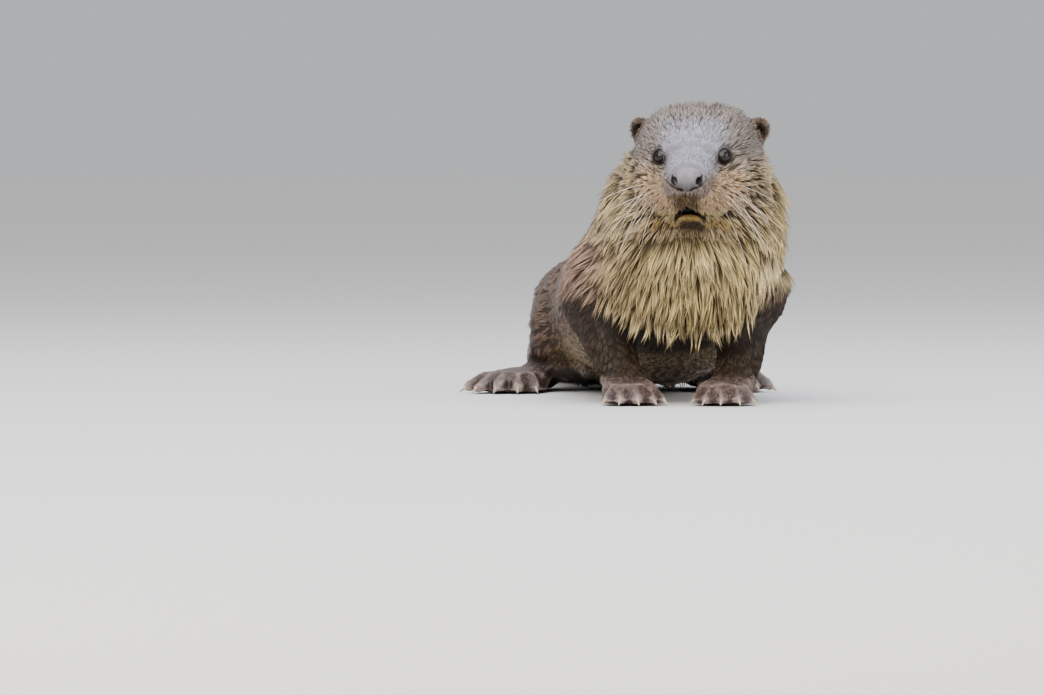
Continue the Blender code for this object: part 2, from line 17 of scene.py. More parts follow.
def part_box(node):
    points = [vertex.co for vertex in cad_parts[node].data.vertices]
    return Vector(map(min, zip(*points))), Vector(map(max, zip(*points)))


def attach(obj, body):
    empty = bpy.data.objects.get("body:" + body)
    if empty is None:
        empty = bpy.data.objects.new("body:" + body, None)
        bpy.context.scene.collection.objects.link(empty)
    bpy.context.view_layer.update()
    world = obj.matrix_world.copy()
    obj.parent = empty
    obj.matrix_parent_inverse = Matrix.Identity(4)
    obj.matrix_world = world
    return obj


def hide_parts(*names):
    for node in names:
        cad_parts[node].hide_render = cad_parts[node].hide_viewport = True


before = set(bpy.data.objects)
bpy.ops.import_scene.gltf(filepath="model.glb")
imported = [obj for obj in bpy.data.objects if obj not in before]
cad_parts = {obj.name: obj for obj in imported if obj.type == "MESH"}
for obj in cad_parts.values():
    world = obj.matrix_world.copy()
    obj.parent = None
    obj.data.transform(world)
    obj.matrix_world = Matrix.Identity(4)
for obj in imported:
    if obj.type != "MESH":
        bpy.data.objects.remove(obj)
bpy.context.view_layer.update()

# ---------------------------------------------------------------- studio
# A matt floor of pale card, an overcast dome and three soft boxes, none of it part of the animal.
# A long lens stands seven metres off, just above the height of the head.
MM = 0.001
HEAD_YAW_DEG = -6.5        # the nose turns towards the animal's right
HEAD_PITCH_DEG = 13        # and dips
EYES_AHEAD_MM = 8          # of the middle of the head's own frame
HEAD_LEFT_MM = 2           # how far left and ahead that middle is of the middle of the shoulders
HEAD_AHEAD_MM = 58


def middle(node):
    low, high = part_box(node)
    return (low + high) / 2


between_eyes = (middle("eye_left") + middle("eye_right")) / 2
yaw = Matrix.Rotation(math.radians(HEAD_YAW_DEG), 4, "Z")
pitch = Matrix.Rotation(math.radians(HEAD_PITCH_DEG), 4, "X")
HEAD_PLACE = (
    Matrix.Translation(between_eyes) @ (yaw @ pitch) @ Matrix.Translation((0, EYES_AHEAD_MM * MM, 0))
)
# The body is measured in mm from the point on the floor midway between the shoulders.
BODY_ORIGIN = Vector((
    HEAD_PLACE.translation.x - HEAD_LEFT_MM * MM, HEAD_PLACE.translation.y + HEAD_AHEAD_MM * MM, 0
))


def linear(hex_colour):
    """An sRGB hex colour as linear red, green, blue and full alpha."""
    channels = [int(hex_colour[i : i + 2], 16) / 255 for i in (0, 2, 4)]
    return (*[c / 12.92 if c <= 0.04045 else ((c + 0.055) / 1.055) ** 2.4 for c in channels], 1.0)


def add(tree, kind, inputs=(), **settings):
    """Adds a node with its settings. Each input is a value or another node's output socket."""
    made = tree.nodes.new(kind)
    for name, value in settings.items():
        setattr(made, name, value)
    for socket, value in dict(inputs).items():
        if isinstance(value, bpy.types.NodeSocket):
            tree.links.new(value, made.inputs[socket])
        else:
            made.inputs[socket].default_value = value
    return made


def new_material(name):
    made = bpy.data.materials.new(name)
    made.use_nodes = True
    made.node_tree.nodes.clear()
    return made, made.node_tree


def to_metre(size_mm):
    """How many marks of a size there are to the metre, which is what a pattern's Scale says."""
    return 1 / (size_mm * MM)


def link_object(name, mesh, *materials):
    for material in materials:
        mesh.materials.append(material)
    obj = bpy.data.objects.new(name, mesh)
    bpy.context.scene.collection.objects.link(obj)
    return obj


# Uncoated card: even, dull, very slightly mottled by clouds of fibres about 11 mm across.
card, tree = new_material("studio_card_matt")
place = add(tree, "ShaderNodeTexCoord")
fibres = add(
    tree, "ShaderNodeTexNoise", {"Vector": place.outputs["Object"], "Scale": to_metre(11.1), "Detail": 3.0}
)
tone = add(tree, "ShaderNodeMapRange", {"Value": fibres.outputs["Fac"], "To Min": 0.72, "To Max": 0.76})
shader = add(tree, "ShaderNodeBsdfPrincipled", {"Base Color": tone.outputs["Result"], "Roughness": 0.9})
add(tree, "ShaderNodeOutputMaterial", {"Surface": shader.outputs["BSDF"]})

FLOOR_RADIUS = 14          # wide enough to run out of sight behind the animal
bm = bmesh.new()
bmesh.ops.create_circle(bm, cap_ends=True, segments=96, radius=FLOOR_RADIUS)
floor_mesh = bpy.data.meshes.new("studio_floor")
bm.to_mesh(floor_mesh)
bm.free()
link_object("studio_floor", floor_mesh, card)

world = bpy.data.worlds.new("overcast")
bpy.context.scene.world = world
world.use_nodes = True
# An overcast sky is twice as bright overhead as at the horizon, where it matches the far floor.
tree = world.node_tree
toward = add(tree, "ShaderNodeTexCoord").outputs["Generated"]
height = add(tree, "ShaderNodeSeparateXYZ", {"Vector": toward}).outputs["Z"]
climb = add(
    tree, "ShaderNodeMapRange", {"Value": height, "From Min": 0.0, "From Max": 0.9},
    interpolation_type="SMOOTHSTEP",
).outputs["Result"]
HORIZON, OVERHEAD = linear("D2D4D7"), linear("F6F7FA")
# A Mix node's sockets are numbered: 0 is the share, 6 and 7 are its two colours.
sky = add(tree, "ShaderNodeMix", {0: climb, 6: HORIZON, 7: OVERHEAD}, data_type="RGBA")
tree.links.new(sky.outputs[2], tree.nodes["Background"].inputs["Color"])
tree.nodes["Background"].inputs["Strength"].default_value = 0.86

CHEST = BODY_ORIGIN + Vector((0, -20, 130)) * MM
SOFT_BOXES = {
    # offset from the chest, size (m), power (W), colour
    "key_box": ((-0.9, -2.6, 2.1), 3.6, 190, "FFF8EE"),
    "sky_box": ((0.1, 0.1, 2.2), 2.4, 60, "EBF1FF"),
    "fill_box": ((2.3, -1.3, 0.8), 1.8, 30, "FFFDF6"),
}
for name, (offset, size, power, tint) in SOFT_BOXES.items():
    data = bpy.data.lights.new(name, "AREA")
    data.size, data.energy, data.color = size, power, linear(tint)[:3]
    lamp = bpy.data.objects.new(name, data)
    bpy.context.scene.collection.objects.link(lamp)
    lamp.location = CHEST + Vector(offset)
    lamp.rotation_mode = "QUATERNION"
    lamp.rotation_quaternion = (-Vector(offset)).to_track_quat("-Z", "Y")

LENS_FROM = BODY_ORIGIN + Vector((0, -7, 0.25))
LENS_TO = BODY_ORIGIN + Vector((-0.1227, 0, 0.0403))
VIEW_WIDTH = 0.760         # of what the frame takes in at the chest
SENSOR_MM = 36
camera_data = bpy.data.cameras.new("long_lens")
camera_data.sensor_width = SENSOR_MM
camera_data.lens = SENSOR_MM * (LENS_TO - LENS_FROM).length / VIEW_WIDTH
camera_data.clip_end = 60
camera = bpy.data.objects.new("long_lens", camera_data)
bpy.context.scene.collection.objects.link(camera)
camera.location = LENS_FROM
camera.rotation_mode = "QUATERNION"
camera.rotation_quaternion = (LENS_TO - LENS_FROM).to_track_quat("-Z", "Y")
bpy.context.scene.camera = camera

# ---------------------------------------------------------------- hide
# The whole skin under the coat, in one piece from the lips to the tip of the tail, as a taxidermist
# has it. It keeps the close under-fur, and is bare on the soles, toes, lids and lips.


def rise(value, low, high):
    """Nought below low, one above high, and a smooth step between them."""
    t = np.clip((value - low) / (high - low), 0, 1)
    return t * t * (3 - 2 * t)


def hump(value, middle_value, width):
    return np.exp(-(((value - middle_value) / width) ** 2))


def in_mm(points, origin_matrix):
    """Points as mm in a frame."""
    back = np.array(origin_matrix.inverted())
    return (points @ back[:3, :3].T + back[:3, 3]) / MM


def head_mm(points):
    """How far ahead of the head's middle, to its left and above it the points are."""
    local = in_mm(points, HEAD_PLACE)
    return -local[:, 1], local[:, 0], local[:, 2]


def body_mm(points):
    local = in_mm(points, Matrix.Translation(BODY_ORIGIN))
    return local[:, 0], local[:, 1], local[:, 2]


# What the coat is like where it is typical of each part: its depth over the hide, the length and
# width of a tuft (mm), how far it stands off (degrees), the share of tufts that are dark, as under-fur
# and as painted shade in the gaps between clumps, and the colours of a tuft's root and tip.
COAT = {
    "back": (5.5, 14, 1.25, 9, 0.20, "2A1E15", "836C5C"),
    "belly": (4.0, 5.0, 1.0, 6, 0.10, "4A3B28", "907B5C"),
    "shoulder": (5.5, 18, 1.15, 8, 0.18, "45332A", "B09382"),
    "tail": (3.0, 12, 1.5, 9, 0.20, "261B14", "775C4A"),
    "leg": (2.4, 7.0, 1.0, 6, 0.07, "20170E", "3B2C1E"),
    "foot": (0.1, 3.0, 0.8, 8, 0.10, "443631", "8A7770"),
    "ruff": (6.0, 19, 1.2, 17, 0.13, "54442C", "F0DEB8"),
    "mane": (6.0, 21, 1.15, 30, 0.24, "33261A", "C6B192"),
    "bib": (8.0, 30, 1.5, 12, 0.40, "2B1E08", "D8BF84"),
    "bib_side": (5.5, 21, 1.4, 6, 0.17, "4A3A20", "E9D3A2"),
    "elbow": (4.5, 11, 1.2, 2, 0.20, "2A1E12", "84705A"),
    "bib_hem": (7.0, 23, 1.4, 10, 0.24, "32250F", "DCC691"),
    "throat": (5.0, 22, 1.4, 15, 0.24, "3E3016", "D9C28C"),
    # The crown's grey is partly painted sheen, the wet coat's reflection of the sky, over its own brown.
    "crown": (2.0, 11, 0.9, 27, 0.34, "261F18", "BFB4A6"),
    "nape": (2.4, 12, 1.1, 20, 0.24, "30241A", "9C8370"),
    "cheek": (2.8, 13, 0.9, 22, 0.34, "170E06", "DCC399"),
    # Painted shade: the near-black tufts make the dark gaps between the cheek's strands by the face's
    # outline.
    "cheek_edge": (3.2, 15, 1.0, 22, 0.70, "0B0602", "CDB48C"),
    # The temple's grey is partly painted sheen; the lilac grey of the brow and the bridge is painted sheen,
    # the wet coat's reflection of the sky.
    "temple": (1.2, 7.0, 0.75, 12, 0.30, "3E342D", "B6A79E"),
    "brow": (0.7, 6.5, 0.6, 5, 0.11, "77747D", "CCCBD5"),
    "bridge": (0.5, 4.0, 0.5, 5, 0.05, "83808A", "B4B2BF"),
    "muzzle": (1.6, 6.0, 0.75, 20, 0.20, "35240F", "D3B28E"),
    "nose_ring": (0.6, 3.4, 0.55, 9, 0.12, "5A4D47", "9C8D86"),
    "pad_edge": (1.2, 7.0, 0.8, 22, 0.15, "3A2A12", "CFB982"),
    "upper_lip": (0.8, 4.2, 0.6, 14, 0.28, "20160A", "65512F"),
    "lower_lip": (0.6, 1.8, 0.7, 8, 0.02, "7C6534", "9E8548"),
    "chin_shade": (1.5, 6.0, 0.9, 18, 0.30, "191106", "4D3A1A"),
    "jowl_shade": (1.5, 8.0, 0.95, 20, 0.30, "241908", "BE9F60"),
    "by_ear": (1.2, 4.0, 0.75, 8, 0.22, "40372F", "9F9188"),
    "ear": (0.0, 3.8, 0.6, 11, 0.18, "35281E", "86705D"),
    "ear_bowl": (0.7, 3.0, 0.6, 26, 0.30, "120906", "38241B"),
}


def hem_height(x):
    """How high the lower edge of the bib is: lowest in the middle, and rising to both sides."""
    to_right = 0.22 * np.maximum(-x - 5, 0) + 0.25 * np.maximum(-x - 38, 0)
    return 58 + np.minimum(to_right, 24) + 0.33 * np.maximum(x - 12, 0) + 0.5 * np.maximum(x - 39, 0)


def region_weights(points, normals):
    """How far each point belongs to each part of the coat. A later part lies over the earlier.

    Places are in mm in the head's or the body's frame, and each pair of bounds is a soft edge.
    """
    ahead, left, up = head_mm(points)
    x, y, z = body_mm(points)
    facing = -normals[:, 1]
    side = np.abs(left)
    below = (between_eyes.z - points[:, 2]) / MM
    skull = 1 - rise(np.sqrt((ahead + 22) ** 2 + left**2 + (up + 12) ** 2), 50, 66)
    skull = np.maximum(skull, rise(ahead, -2, 6)) * (1 - rise(below, 50, 58) * rise(ahead, -40, -20))
    front = rise(-y, -70, -20)
    ear = np.zeros(len(points))
    by_ear = np.zeros(len(points))
    bowl = np.zeros(len(points))
    hem = hem_height(x)
    on_chest = rise(-y, -50, -20)
    for name in ("ear_left", "ear_right"):
        centre = np.array(middle(name))
        away = np.linalg.norm(points - centre, axis=1) / MM
        ear = np.maximum(ear, 1 - rise(away, 9.5, 12.5))
        # The coat is kept low round the ear, and further in front of it, so that the ear shows.
        in_front = np.maximum(ahead + 42, 0)
        from_ear = np.sqrt(np.maximum(away**2 - 0.6 * in_front**2, 0))
        by_ear = np.maximum(by_ear, 1 - rise(from_ear, 15, 21))
        within = points - centre - np.array(HEAD_PLACE.to_3x3() @ Vector((0, -3, 0.5))) * MM
        bowl = np.maximum(bowl, 1 - rise(np.linalg.norm(within, axis=1) / MM, 4.8, 6.9))
    feet = np.zeros(len(points))
    for name in ("forepaw_left", "forepaw_right", "hind_foot_left", "hind_foot_right"):
        low, high = (np.array(c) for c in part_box(name))
        apart = np.maximum(np.maximum(low - points, points - high), 0)
        feet = np.maximum(feet, 1 - rise(np.linalg.norm(apart, axis=1) / MM, 0, 7))
    return {
        "back": np.ones(len(points)),
        "belly": rise(-normals[:, 2], 0.15, 0.6) * rise(z, 12, 26),
        "tail": rise(y, 350, 420),
        "shoulder": front * rise(z, 30, 60),
        "leg": (1 - rise(z, hem - 4, hem + 8)) * rise(-y, -60, -40)
        + 0.7 * (1 - rise(z, 24, 48)) * rise(y, 190, 235) * (1 - rise(y, 320, 360)),
        "foot": feet * (1 - rise(z, 16, 24)),
        "ruff": front * rise(z, 112, 134) * rise(facing - 0.45 * (1 - rise(x, -40, 30)), -0.45, 0.15),
        "mane": front * rise(np.abs(x), 22, 36) * hump(z, 168, 18) * (1 - rise(ahead, -60, -44)),
        "bib": rise(facing + 0.4 * rise(x, 10, 50), 0.05, 0.4) * rise(x, -80, -44)
        * (0.7 + 0.3 * rise(x, -50, -5)) * rise(z, hem, hem + 8) * on_chest,
        "bib_side": rise(x, 34, 52) * rise(z, hem, hem + 8) * (1 - rise(z, 120, 140)) * on_chest,
        "elbow": front * rise(x, 50, 62) * rise(z, hem - 12, hem - 2) * (1 - rise(z, 86, 108)),
        "bib_hem": 0.8 * rise(facing, 0.05, 0.4) * (1 - rise(z, hem + 4, hem + 26))
        * rise(z, hem - 4, hem + 2) * rise(x, -76, -36) * (1 - rise(x, 40, 56)) * on_chest,
        "throat": rise(facing, -0.1, 0.3) * rise(below, 50, 56) * (1 - rise(below, 74, 96))
        * (1 - rise(side, 14, 40)),
        "crown": skull * rise(up, -10, 4),
        "nape": skull * rise(up, -10, 4) * (1 - rise(ahead, -46, -16)),
        "cheek": skull * (1 - rise(up, -10, 4)),
        "cheek_edge": skull * hump(side, 39, 6) * rise(below, 0, 8) * (1 - rise(below, 26, 34))
        * rise(ahead, -36, -26),
        "temple": 0.85 * skull * rise(up, -18, -4) * rise(ahead, -34, -20) * (1 - rise(side, 42, 50)),
        "brow": skull * rise(up, -4, 6) * (1 - rise(up, 14, 28)) * rise(ahead, -20, -6)
        * (1 - rise(side, 13, 30)),
        "bridge": skull * rise(up, -16, -6) * rise(ahead, 2, 12) * (1 - rise(side, 12, 22)),
        "muzzle": skull * rise(ahead, 8, 20) * (1 - rise(up, -14, -6)),
        "nose_ring": skull * rise(ahead, 30, 38) * (1 - rise(up, -9, -3))
        * (1 - rise(np.hypot(left / 17.5, (up + 8) / 11.5), 0.92, 1.2)),
        "pad_edge": skull * rise(ahead, 8, 20) * rise(below, 35, 38.5) * (1 - rise(below, 41, 43))
        * rise(side, 5, 10) * (1 - rise(side, 22, 28)),
        "upper_lip": skull * rise(ahead, 28, 36) * rise(below, 23.5, 26.5) * (1 - rise(side, 4, 15)),
        "lower_lip": skull * rise(ahead, 14, 24) * rise(below, 40.2, 41.7) * (1 - rise(side, 6.5, 9.5)),
        "chin_shade": rise(ahead, -4, 10) * rise(below, 45, 47) * (1 - rise(below, 50, 56))
        * (1 - rise(side, 6, 13)),
        "jowl_shade": rise(ahead, -10, 4) * rise(below, 42.5, 44.5) * (1 - rise(below, 46, 53))
        * rise(side, 8, 12) * (1 - rise(side, 24, 34)),
        "by_ear": by_ear * rise(ahead, -44, -38),
        "ear": ear,
        "ear_bowl": bowl,
    }


def coat_at(points, normals):
    """What COAT says at each point, with the parts blended."""
    made = np.zeros((len(points), 11))
    for name, weight in region_weights(points, normals).items():
        *sizes, root, tip = COAT[name]
        row = np.array([*sizes, *linear(root)[:3], *linear(tip)[:3]])
        made += (row - made) * np.clip(weight, 0, 1)[:, None]
    return {"depth": made[:, 0], "length": made[:, 1], "width": made[:, 2], "lift": made[:, 3],
            "dark": made[:, 4], "root": made[:, 5:8], "tip": made[:, 8:11]}


def rows_of(items, name):
    """The vector that each item of a mesh holds under a name, one to a row."""
    flat = np.empty(len(items) * 3, np.float32)
    items.foreach_get(name, flat)
    return flat.reshape(-1, 3).astype(float)


def coordinates(mesh):
    return rows_of(mesh.vertices, "co")


def normals_of(mesh):
    return rows_of(mesh.vertex_normals, "vector")


def move_to(mesh, points):
    mesh.vertices.foreach_set("co", points.astype(np.float32).ravel())
    mesh.update()


WEIGHT_STEPS = 20


def worked(mesh, *modifiers, weights=None):
    """The mesh with modifiers applied, each a type and its settings. Weights go in a vertex group."""
    obj = link_object("worked", mesh)
    if weights is not None:
        group = obj.vertex_groups.new(name="weights")
        levels = np.round(np.clip(weights, 0, 1) * WEIGHT_STEPS).astype(int)
        for level in range(1, WEIGHT_STEPS + 1):
            group.add(np.flatnonzero(levels == level).tolist(), level / WEIGHT_STEPS, "REPLACE")
    for kind, settings in modifiers:
        modifier = obj.modifiers.new(kind.lower(), kind)
        for name, value in settings.items():
            setattr(modifier, name, value)
    bpy.context.view_layer.update()
    graph = bpy.context.evaluated_depsgraph_get()
    made = bpy.data.meshes.new_from_object(obj.evaluated_get(graph))
    bpy.data.objects.remove(obj)
    return made


def joined(nodes, swell_mm):
    """Merged copies of CAD solids, each swollen enough to run into its neighbours."""
    together = bmesh.new()
    for name in nodes:
        bm = bmesh.new()
        bm.from_mesh(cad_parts[name].data)
        bmesh.ops.remove_doubles(bm, verts=bm.verts, dist=1e-5)
        bm.normal_update()
        for vert in bm.verts:
            vert.co += vert.normal * swell_mm * MM
        copy = bpy.data.meshes.new("copy")
        bm.to_mesh(copy)
        bm.free()
        together.from_mesh(copy)
        bpy.data.meshes.remove(copy)
    made = bpy.data.meshes.new("joined")
    together.to_mesh(made)
    together.free()
    return made


CLAWS = sorted(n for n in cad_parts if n.startswith("claw_"))
FLESH = sorted(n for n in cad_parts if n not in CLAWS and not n.startswith("eye_") and n != "nose")
HIDE_VOXEL_MM = 1.25
HIDE_SHARE = 0.25          # of the faces, kept where the form needs them
SWELL_MM = 0.6             # closes the gaps between the solids, and is taken off again

hide = worked(
    joined([*FLESH, "eye_left", "eye_right", "nose"], SWELL_MM),
    ("REMESH", {"mode": "VOXEL", "voxel_size": HIDE_VOXEL_MM * MM}),
    ("SMOOTH", {"factor": 0.5, "iterations": 12}),
)
points = coordinates(hide)
weights = region_weights(points, normals_of(hide))
ahead, _, up = head_mm(points)
# The feet, ears and face keep their form, and the rest is smoothed into one body.
firm = np.clip(weights["foot"] + weights["ear"] + rise(ahead, -8, 2) * rise(up, -60, -50), 0, 1)
skull_now = np.clip(weights["crown"] + weights["cheek"], 0, 1)
hide = worked(
    hide,
    ("SMOOTH", {"factor": 0.5, "iterations": 70, "vertex_group": "weights"}),
    weights=(1 - firm) * (1 - 0.75 * skull_now) * (1 - 0.8 * weights["tail"]),
)
points, outward = coordinates(hide), normals_of(hide)
move_to(hide, points - outward * (coat_at(points, outward)["depth"] + SWELL_MM)[:, None] * MM)
hide = worked(hide, ("TRIANGULATE", {}), ("DECIMATE", {"ratio": HIDE_SHARE}))

# The lids are the same skin, drawn over each eye, so the mesh is made finer there and at the lips.
EYE_AIM = {side: Vector((0.34 * side, -1, 0.10)).normalized() for side in (-1, 1)}
OPENING_MM = {1: (3.3, 4.3), -1: (2.5, 3.9)}       # half the width and height between the lids
LID_MM = 0.75              # how thick a lid is
FINER_MM = (11, 8.2)       # within each of these of an eye's axis the mesh is split once more
LID_REACH_MM = 14          # no skin further from the eye's middle is drawn over it
EYE_RADIUS_MM = (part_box("eye_left")[1].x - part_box("eye_left")[0].x) / 2 / MM


def eye_frame(side):
    """The eye's own frame: X across the opening, Y into the head, Z up."""
    ahead = HEAD_PLACE.to_3x3() @ EYE_AIM[side]
    across = ahead.cross(HEAD_PLACE.to_3x3() @ Vector((0, 0, 1))).normalized()
    up = across.cross(ahead)
    turned = Matrix((across, -ahead, up)).transposed().to_4x4()
    return Matrix.Translation(middle("eye_left" if side > 0 else "eye_right")) @ turned


def split_edges(bm, place, test):
    """Halves the edges whose ends both pass the test, which is given each in mm in another frame."""
    inverse = place.inverted()
    near = [e for e in bm.edges if all(test(inverse @ v.co / MM) for v in e.verts)]
    bmesh.ops.subdivide_edges(bm, edges=near, cuts=1, use_grid_fill=True)


bm = bmesh.new()
bm.from_mesh(hide)
for side in (-1, 1):
    for reach in FINER_MM:
        split_edges(bm, eye_frame(side), lambda p: p.y < 1 and math.hypot(p.x, p.z) < reach)
split_edges(bm, HEAD_PLACE, lambda p: p.y < -22 and -43 < p.z < -12)         # the muzzle and the lips
bmesh.ops.triangulate(bm, faces=bm.faces)
bm.to_mesh(hide)
bm.free()

points = coordinates(hide)
lid_margin = np.zeros(len(points))
for side in (-1, 1):
    place = eye_frame(side)
    local = in_mm(points, place)
    around = np.hypot(local[:, 0] / OPENING_MM[side][0], local[:, 2] / OPENING_MM[side][1])
    facing_out = rise(-local[:, 1], -1.5, 1.5)
    reach = np.linalg.norm(local, axis=1)
    # The skin stands round the opening as a lid, dips outside it, and inside lies behind the eyeball.
    lid = EYE_RADIUS_MM + LID_MM + 0.5 * hump(around, 1.22, 0.16) - 0.7 * hump(around, 1.72, 0.2)
    wanted = lid + (EYE_RADIUS_MM - 1.8 - lid) * (1 - rise(around, 0.96, 1.10))
    hold = facing_out * (1 - rise(around, 1.5, 2.15)) * (reach < LID_REACH_MM)
    new_reach = reach + (wanted - reach) * hold
    local *= (new_reach / np.maximum(reach, 1e-6))[:, None]
    matrix = np.array(place)
    points = (local * MM) @ matrix[:3, :3].T + matrix[:3, 3]
    margin = facing_out * (1 - rise(around, 1.04, 1.16)) * (reach < LID_REACH_MM)
    lid_margin = np.maximum(lid_margin, margin)

move_to(hide, points)
outward = normals_of(hide)
ahead, left, up = head_mm(points)
side = np.abs(left)
below = (between_eyes.z - points[:, 2]) / MM


def lips(side):
    """How far below the eyes the edges of the upper and the lower lip are, in mm."""
    return 34.5 + 7.0 * (1 - np.exp(-((side / 8.0) ** 1.3))), 41.0 + 0.035 * side**2


upper, lower = lips(side)
snout = rise(ahead, 8, 18)
gape = rise(below, upper - 0.7, upper + 0.5) * (1 - rise(below, lower - 0.5, lower + 0.7)) * (side < 10.5)
seam = hump(below, upper + 0.4, 0.9) * rise(side, 9, 12) * (1 - rise(side, 24, 34))
behind_nose = rise(ahead, 43.5, 46) * rise(1 - (left / 14) ** 2 - ((up + 6.5) / 8) ** 2, 0, 0.28)
folds = (
    2.6 * hump(side, 18, 10) * hump(below, 33, 8)                            # the whisker pads
    + 0.8 * hump(below, upper - 2.6, 2.0)                                    # the lip's rolled edge
    - 4.5 * gape - 2.0 * seam                                                # the mouth, part open
    + 1.6 * hump(below, lower + 1.9, 1.7) * (1 - rise(side, 5, 9.5))          # the lower lip
    - 2.2 * hump(below, 49.0, 2.6) * (1 - rise(side, 6, 13))                 # the fold under the chin
    - 0.9 * hump(left, 0, 1.0) * hump(below, 29, 4.5)                        # the groove under the nose
    - 8.5 * behind_nose                                                      # room for the nostrils
) * snout
points = points + outward * folds[:, None] * MM
move_to(hide, points)
in_mouth = snout * np.clip(gape + 0.8 * seam, 0, 1)


def mark(mesh, colours, name="MarkingsAndPaintedLight"):
    """Stores a linear colour for each point of the mesh: its own colour, with any painted light laid in."""
    layer = mesh.color_attributes.new(name, "FLOAT_COLOR", "POINT")
    rgba = np.ones((len(colours), 4), np.float32)
    rgba[:, :3] = colours
    layer.data.foreach_set("color", rgba.ravel())


def store(mesh, name, values):
    layer = mesh.attributes.new(name, "FLOAT", "POINT")
    layer.data.foreach_set("value", values.astype(np.float32))


def overlay_colour_and_light(colours, *layers):
    """Lays colours over those of the points, each by its amount at each point; some are painted shade and
    highlights.
    """
    for amount, colour in layers:
        colours += (np.array(linear(colour)[:3]) - colours) * np.clip(amount, 0, 1)[:, None]


def smooth_shaded(mesh):
    mesh.polygons.foreach_set("use_smooth", [True] * len(mesh.polygons))


outward = normals_of(hide)
coat = coat_at(points, outward)
weights = region_weights(points, outward)
hide_colour_and_painted_light = coat["root"] * 0.8 + (coat["tip"] - coat["root"]) * 0.02
# Painted shade: the open mouth, the seam under the whisker pads and the hollow behind the nose pad are laid
# dark.
overlay_colour_and_light(hide_colour_and_painted_light, (lid_margin * 1.3, "17110F"), (in_mouth * 1.3, "1A120E"), (behind_nose * 1.3, "0B0808"))
level = coordinates(worked(hide.copy(), ("SMOOTH", {"factor": 0.5, "iterations": 14})))
# The knuckles of the feet stand proud of the skin around and get painted highlights, the webs painted shade.
proud = ((points - level) * outward).sum(1) / MM
knuckle_highlight = 0.6 * rise(proud, 0.04, 0.35) * weights["foot"]
web_shade = 0.6 * rise(-proud, 0.03, 0.3) * weights["foot"]
overlay_colour_and_light(hide_colour_and_painted_light, (knuckle_highlight, "A8958D"), (web_shade, "120C0A"))
mark(hide, hide_colour_and_painted_light)
store(hide, "Bare", np.clip(weights["foot"] + lid_margin + in_mouth, 0, 1))
smooth_shaded(hide)

# Wet hide: the close under-fur gives it a fine felted grain of about 0.7 mm, mottled every 7 mm,
# and the bare skin of the toes is creased every 1.5 mm and shines where it is damp.
hide_finish, tree = new_material("hide_damp_underfur")
place = add(tree, "ShaderNodeTexCoord").outputs["Object"]
marks = add(tree, "ShaderNodeAttribute", attribute_name="MarkingsAndPaintedLight").outputs["Color"]
bare = add(tree, "ShaderNodeAttribute", attribute_name="Bare").outputs["Fac"]
mottle = add(
    tree, "ShaderNodeTexNoise", {"Vector": place, "Scale": to_metre(7.14), "Detail": 4.0}
).outputs["Fac"]
felt = add(
    tree, "ShaderNodeTexNoise", {"Vector": place, "Scale": to_metre(0.667), "Detail": 2.0}
).outputs["Fac"]
creases = add(
    tree, "ShaderNodeTexVoronoi", {"Vector": place, "Scale": to_metre(1.54)}, feature="F1"
).outputs["Distance"]
tone = add(
    tree, "ShaderNodeMapRange",
    {"Value": mottle, "From Min": 0.3, "From Max": 0.7, "To Min": 0.78, "To Max": 1.2},
).outputs["Result"]
colour = add(tree, "ShaderNodeVectorMath", {0: marks, 1: tone}, operation="MULTIPLY").outputs[0]
# Sockets 2 and 3 of a Mix node are its two values.
relief = add(tree, "ShaderNodeMix", {0: bare, 2: felt, 3: creases}, data_type="FLOAT").outputs[0]
bump = add(tree, "ShaderNodeBump", {"Height": relief, "Strength": 0.5, "Distance": 0.0004})
gloss = add(tree, "ShaderNodeMapRange", {"Value": bare, "To Min": 0.7, "To Max": 0.28}).outputs["Result"]
shader = add(
    tree, "ShaderNodeBsdfPrincipled",
    {"Base Color": colour, "Roughness": gloss, "Normal": bump.outputs["Normal"], "Specular IOR Level": 0.22},
)
add(tree, "ShaderNodeOutputMaterial", {"Surface": shader.outputs["BSDF"]})

hide_piece = link_object("hide", hide, hide_finish)
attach(hide_piece, "root")
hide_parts(*FLESH)

# ---------------------------------------------------------------- eyes
# Small dark wet eyes, set forward and high. The brown iris is hardly paler than the pupil, and the
# clear cornea over it takes the whole reflection of the sky.
eye_finish, tree = new_material("eye_wet_dark_brown")
distance = add(tree, "ShaderNodeAttribute", attribute_name="FromPupil").outputs["Fac"]
ramp = add(tree, "ShaderNodeValToRGB", {"Fac": distance})
stops = ramp.color_ramp.elements
stops[0].position, stops[0].color = 0.24, linear("050404")
stops[1].position, stops[1].color = 0.32, linear("1D110B")
for position, colour in ((0.55, "170E09"), (0.66, "080505")):
    stops.new(position).color = linear(colour)
brown = ramp.outputs["Color"]
shader = add(tree, "ShaderNodeBsdfPrincipled", {"Base Color": brown, "Roughness": 0.05, "IOR": 1.42})
add(tree, "ShaderNodeOutputMaterial", {"Surface": shader.outputs["BSDF"]})
CORNEA_PROUD_MM = 0.5      # of the ball, over a spot this far from its axis
CORNEA_RADIUS_MM = 3.6
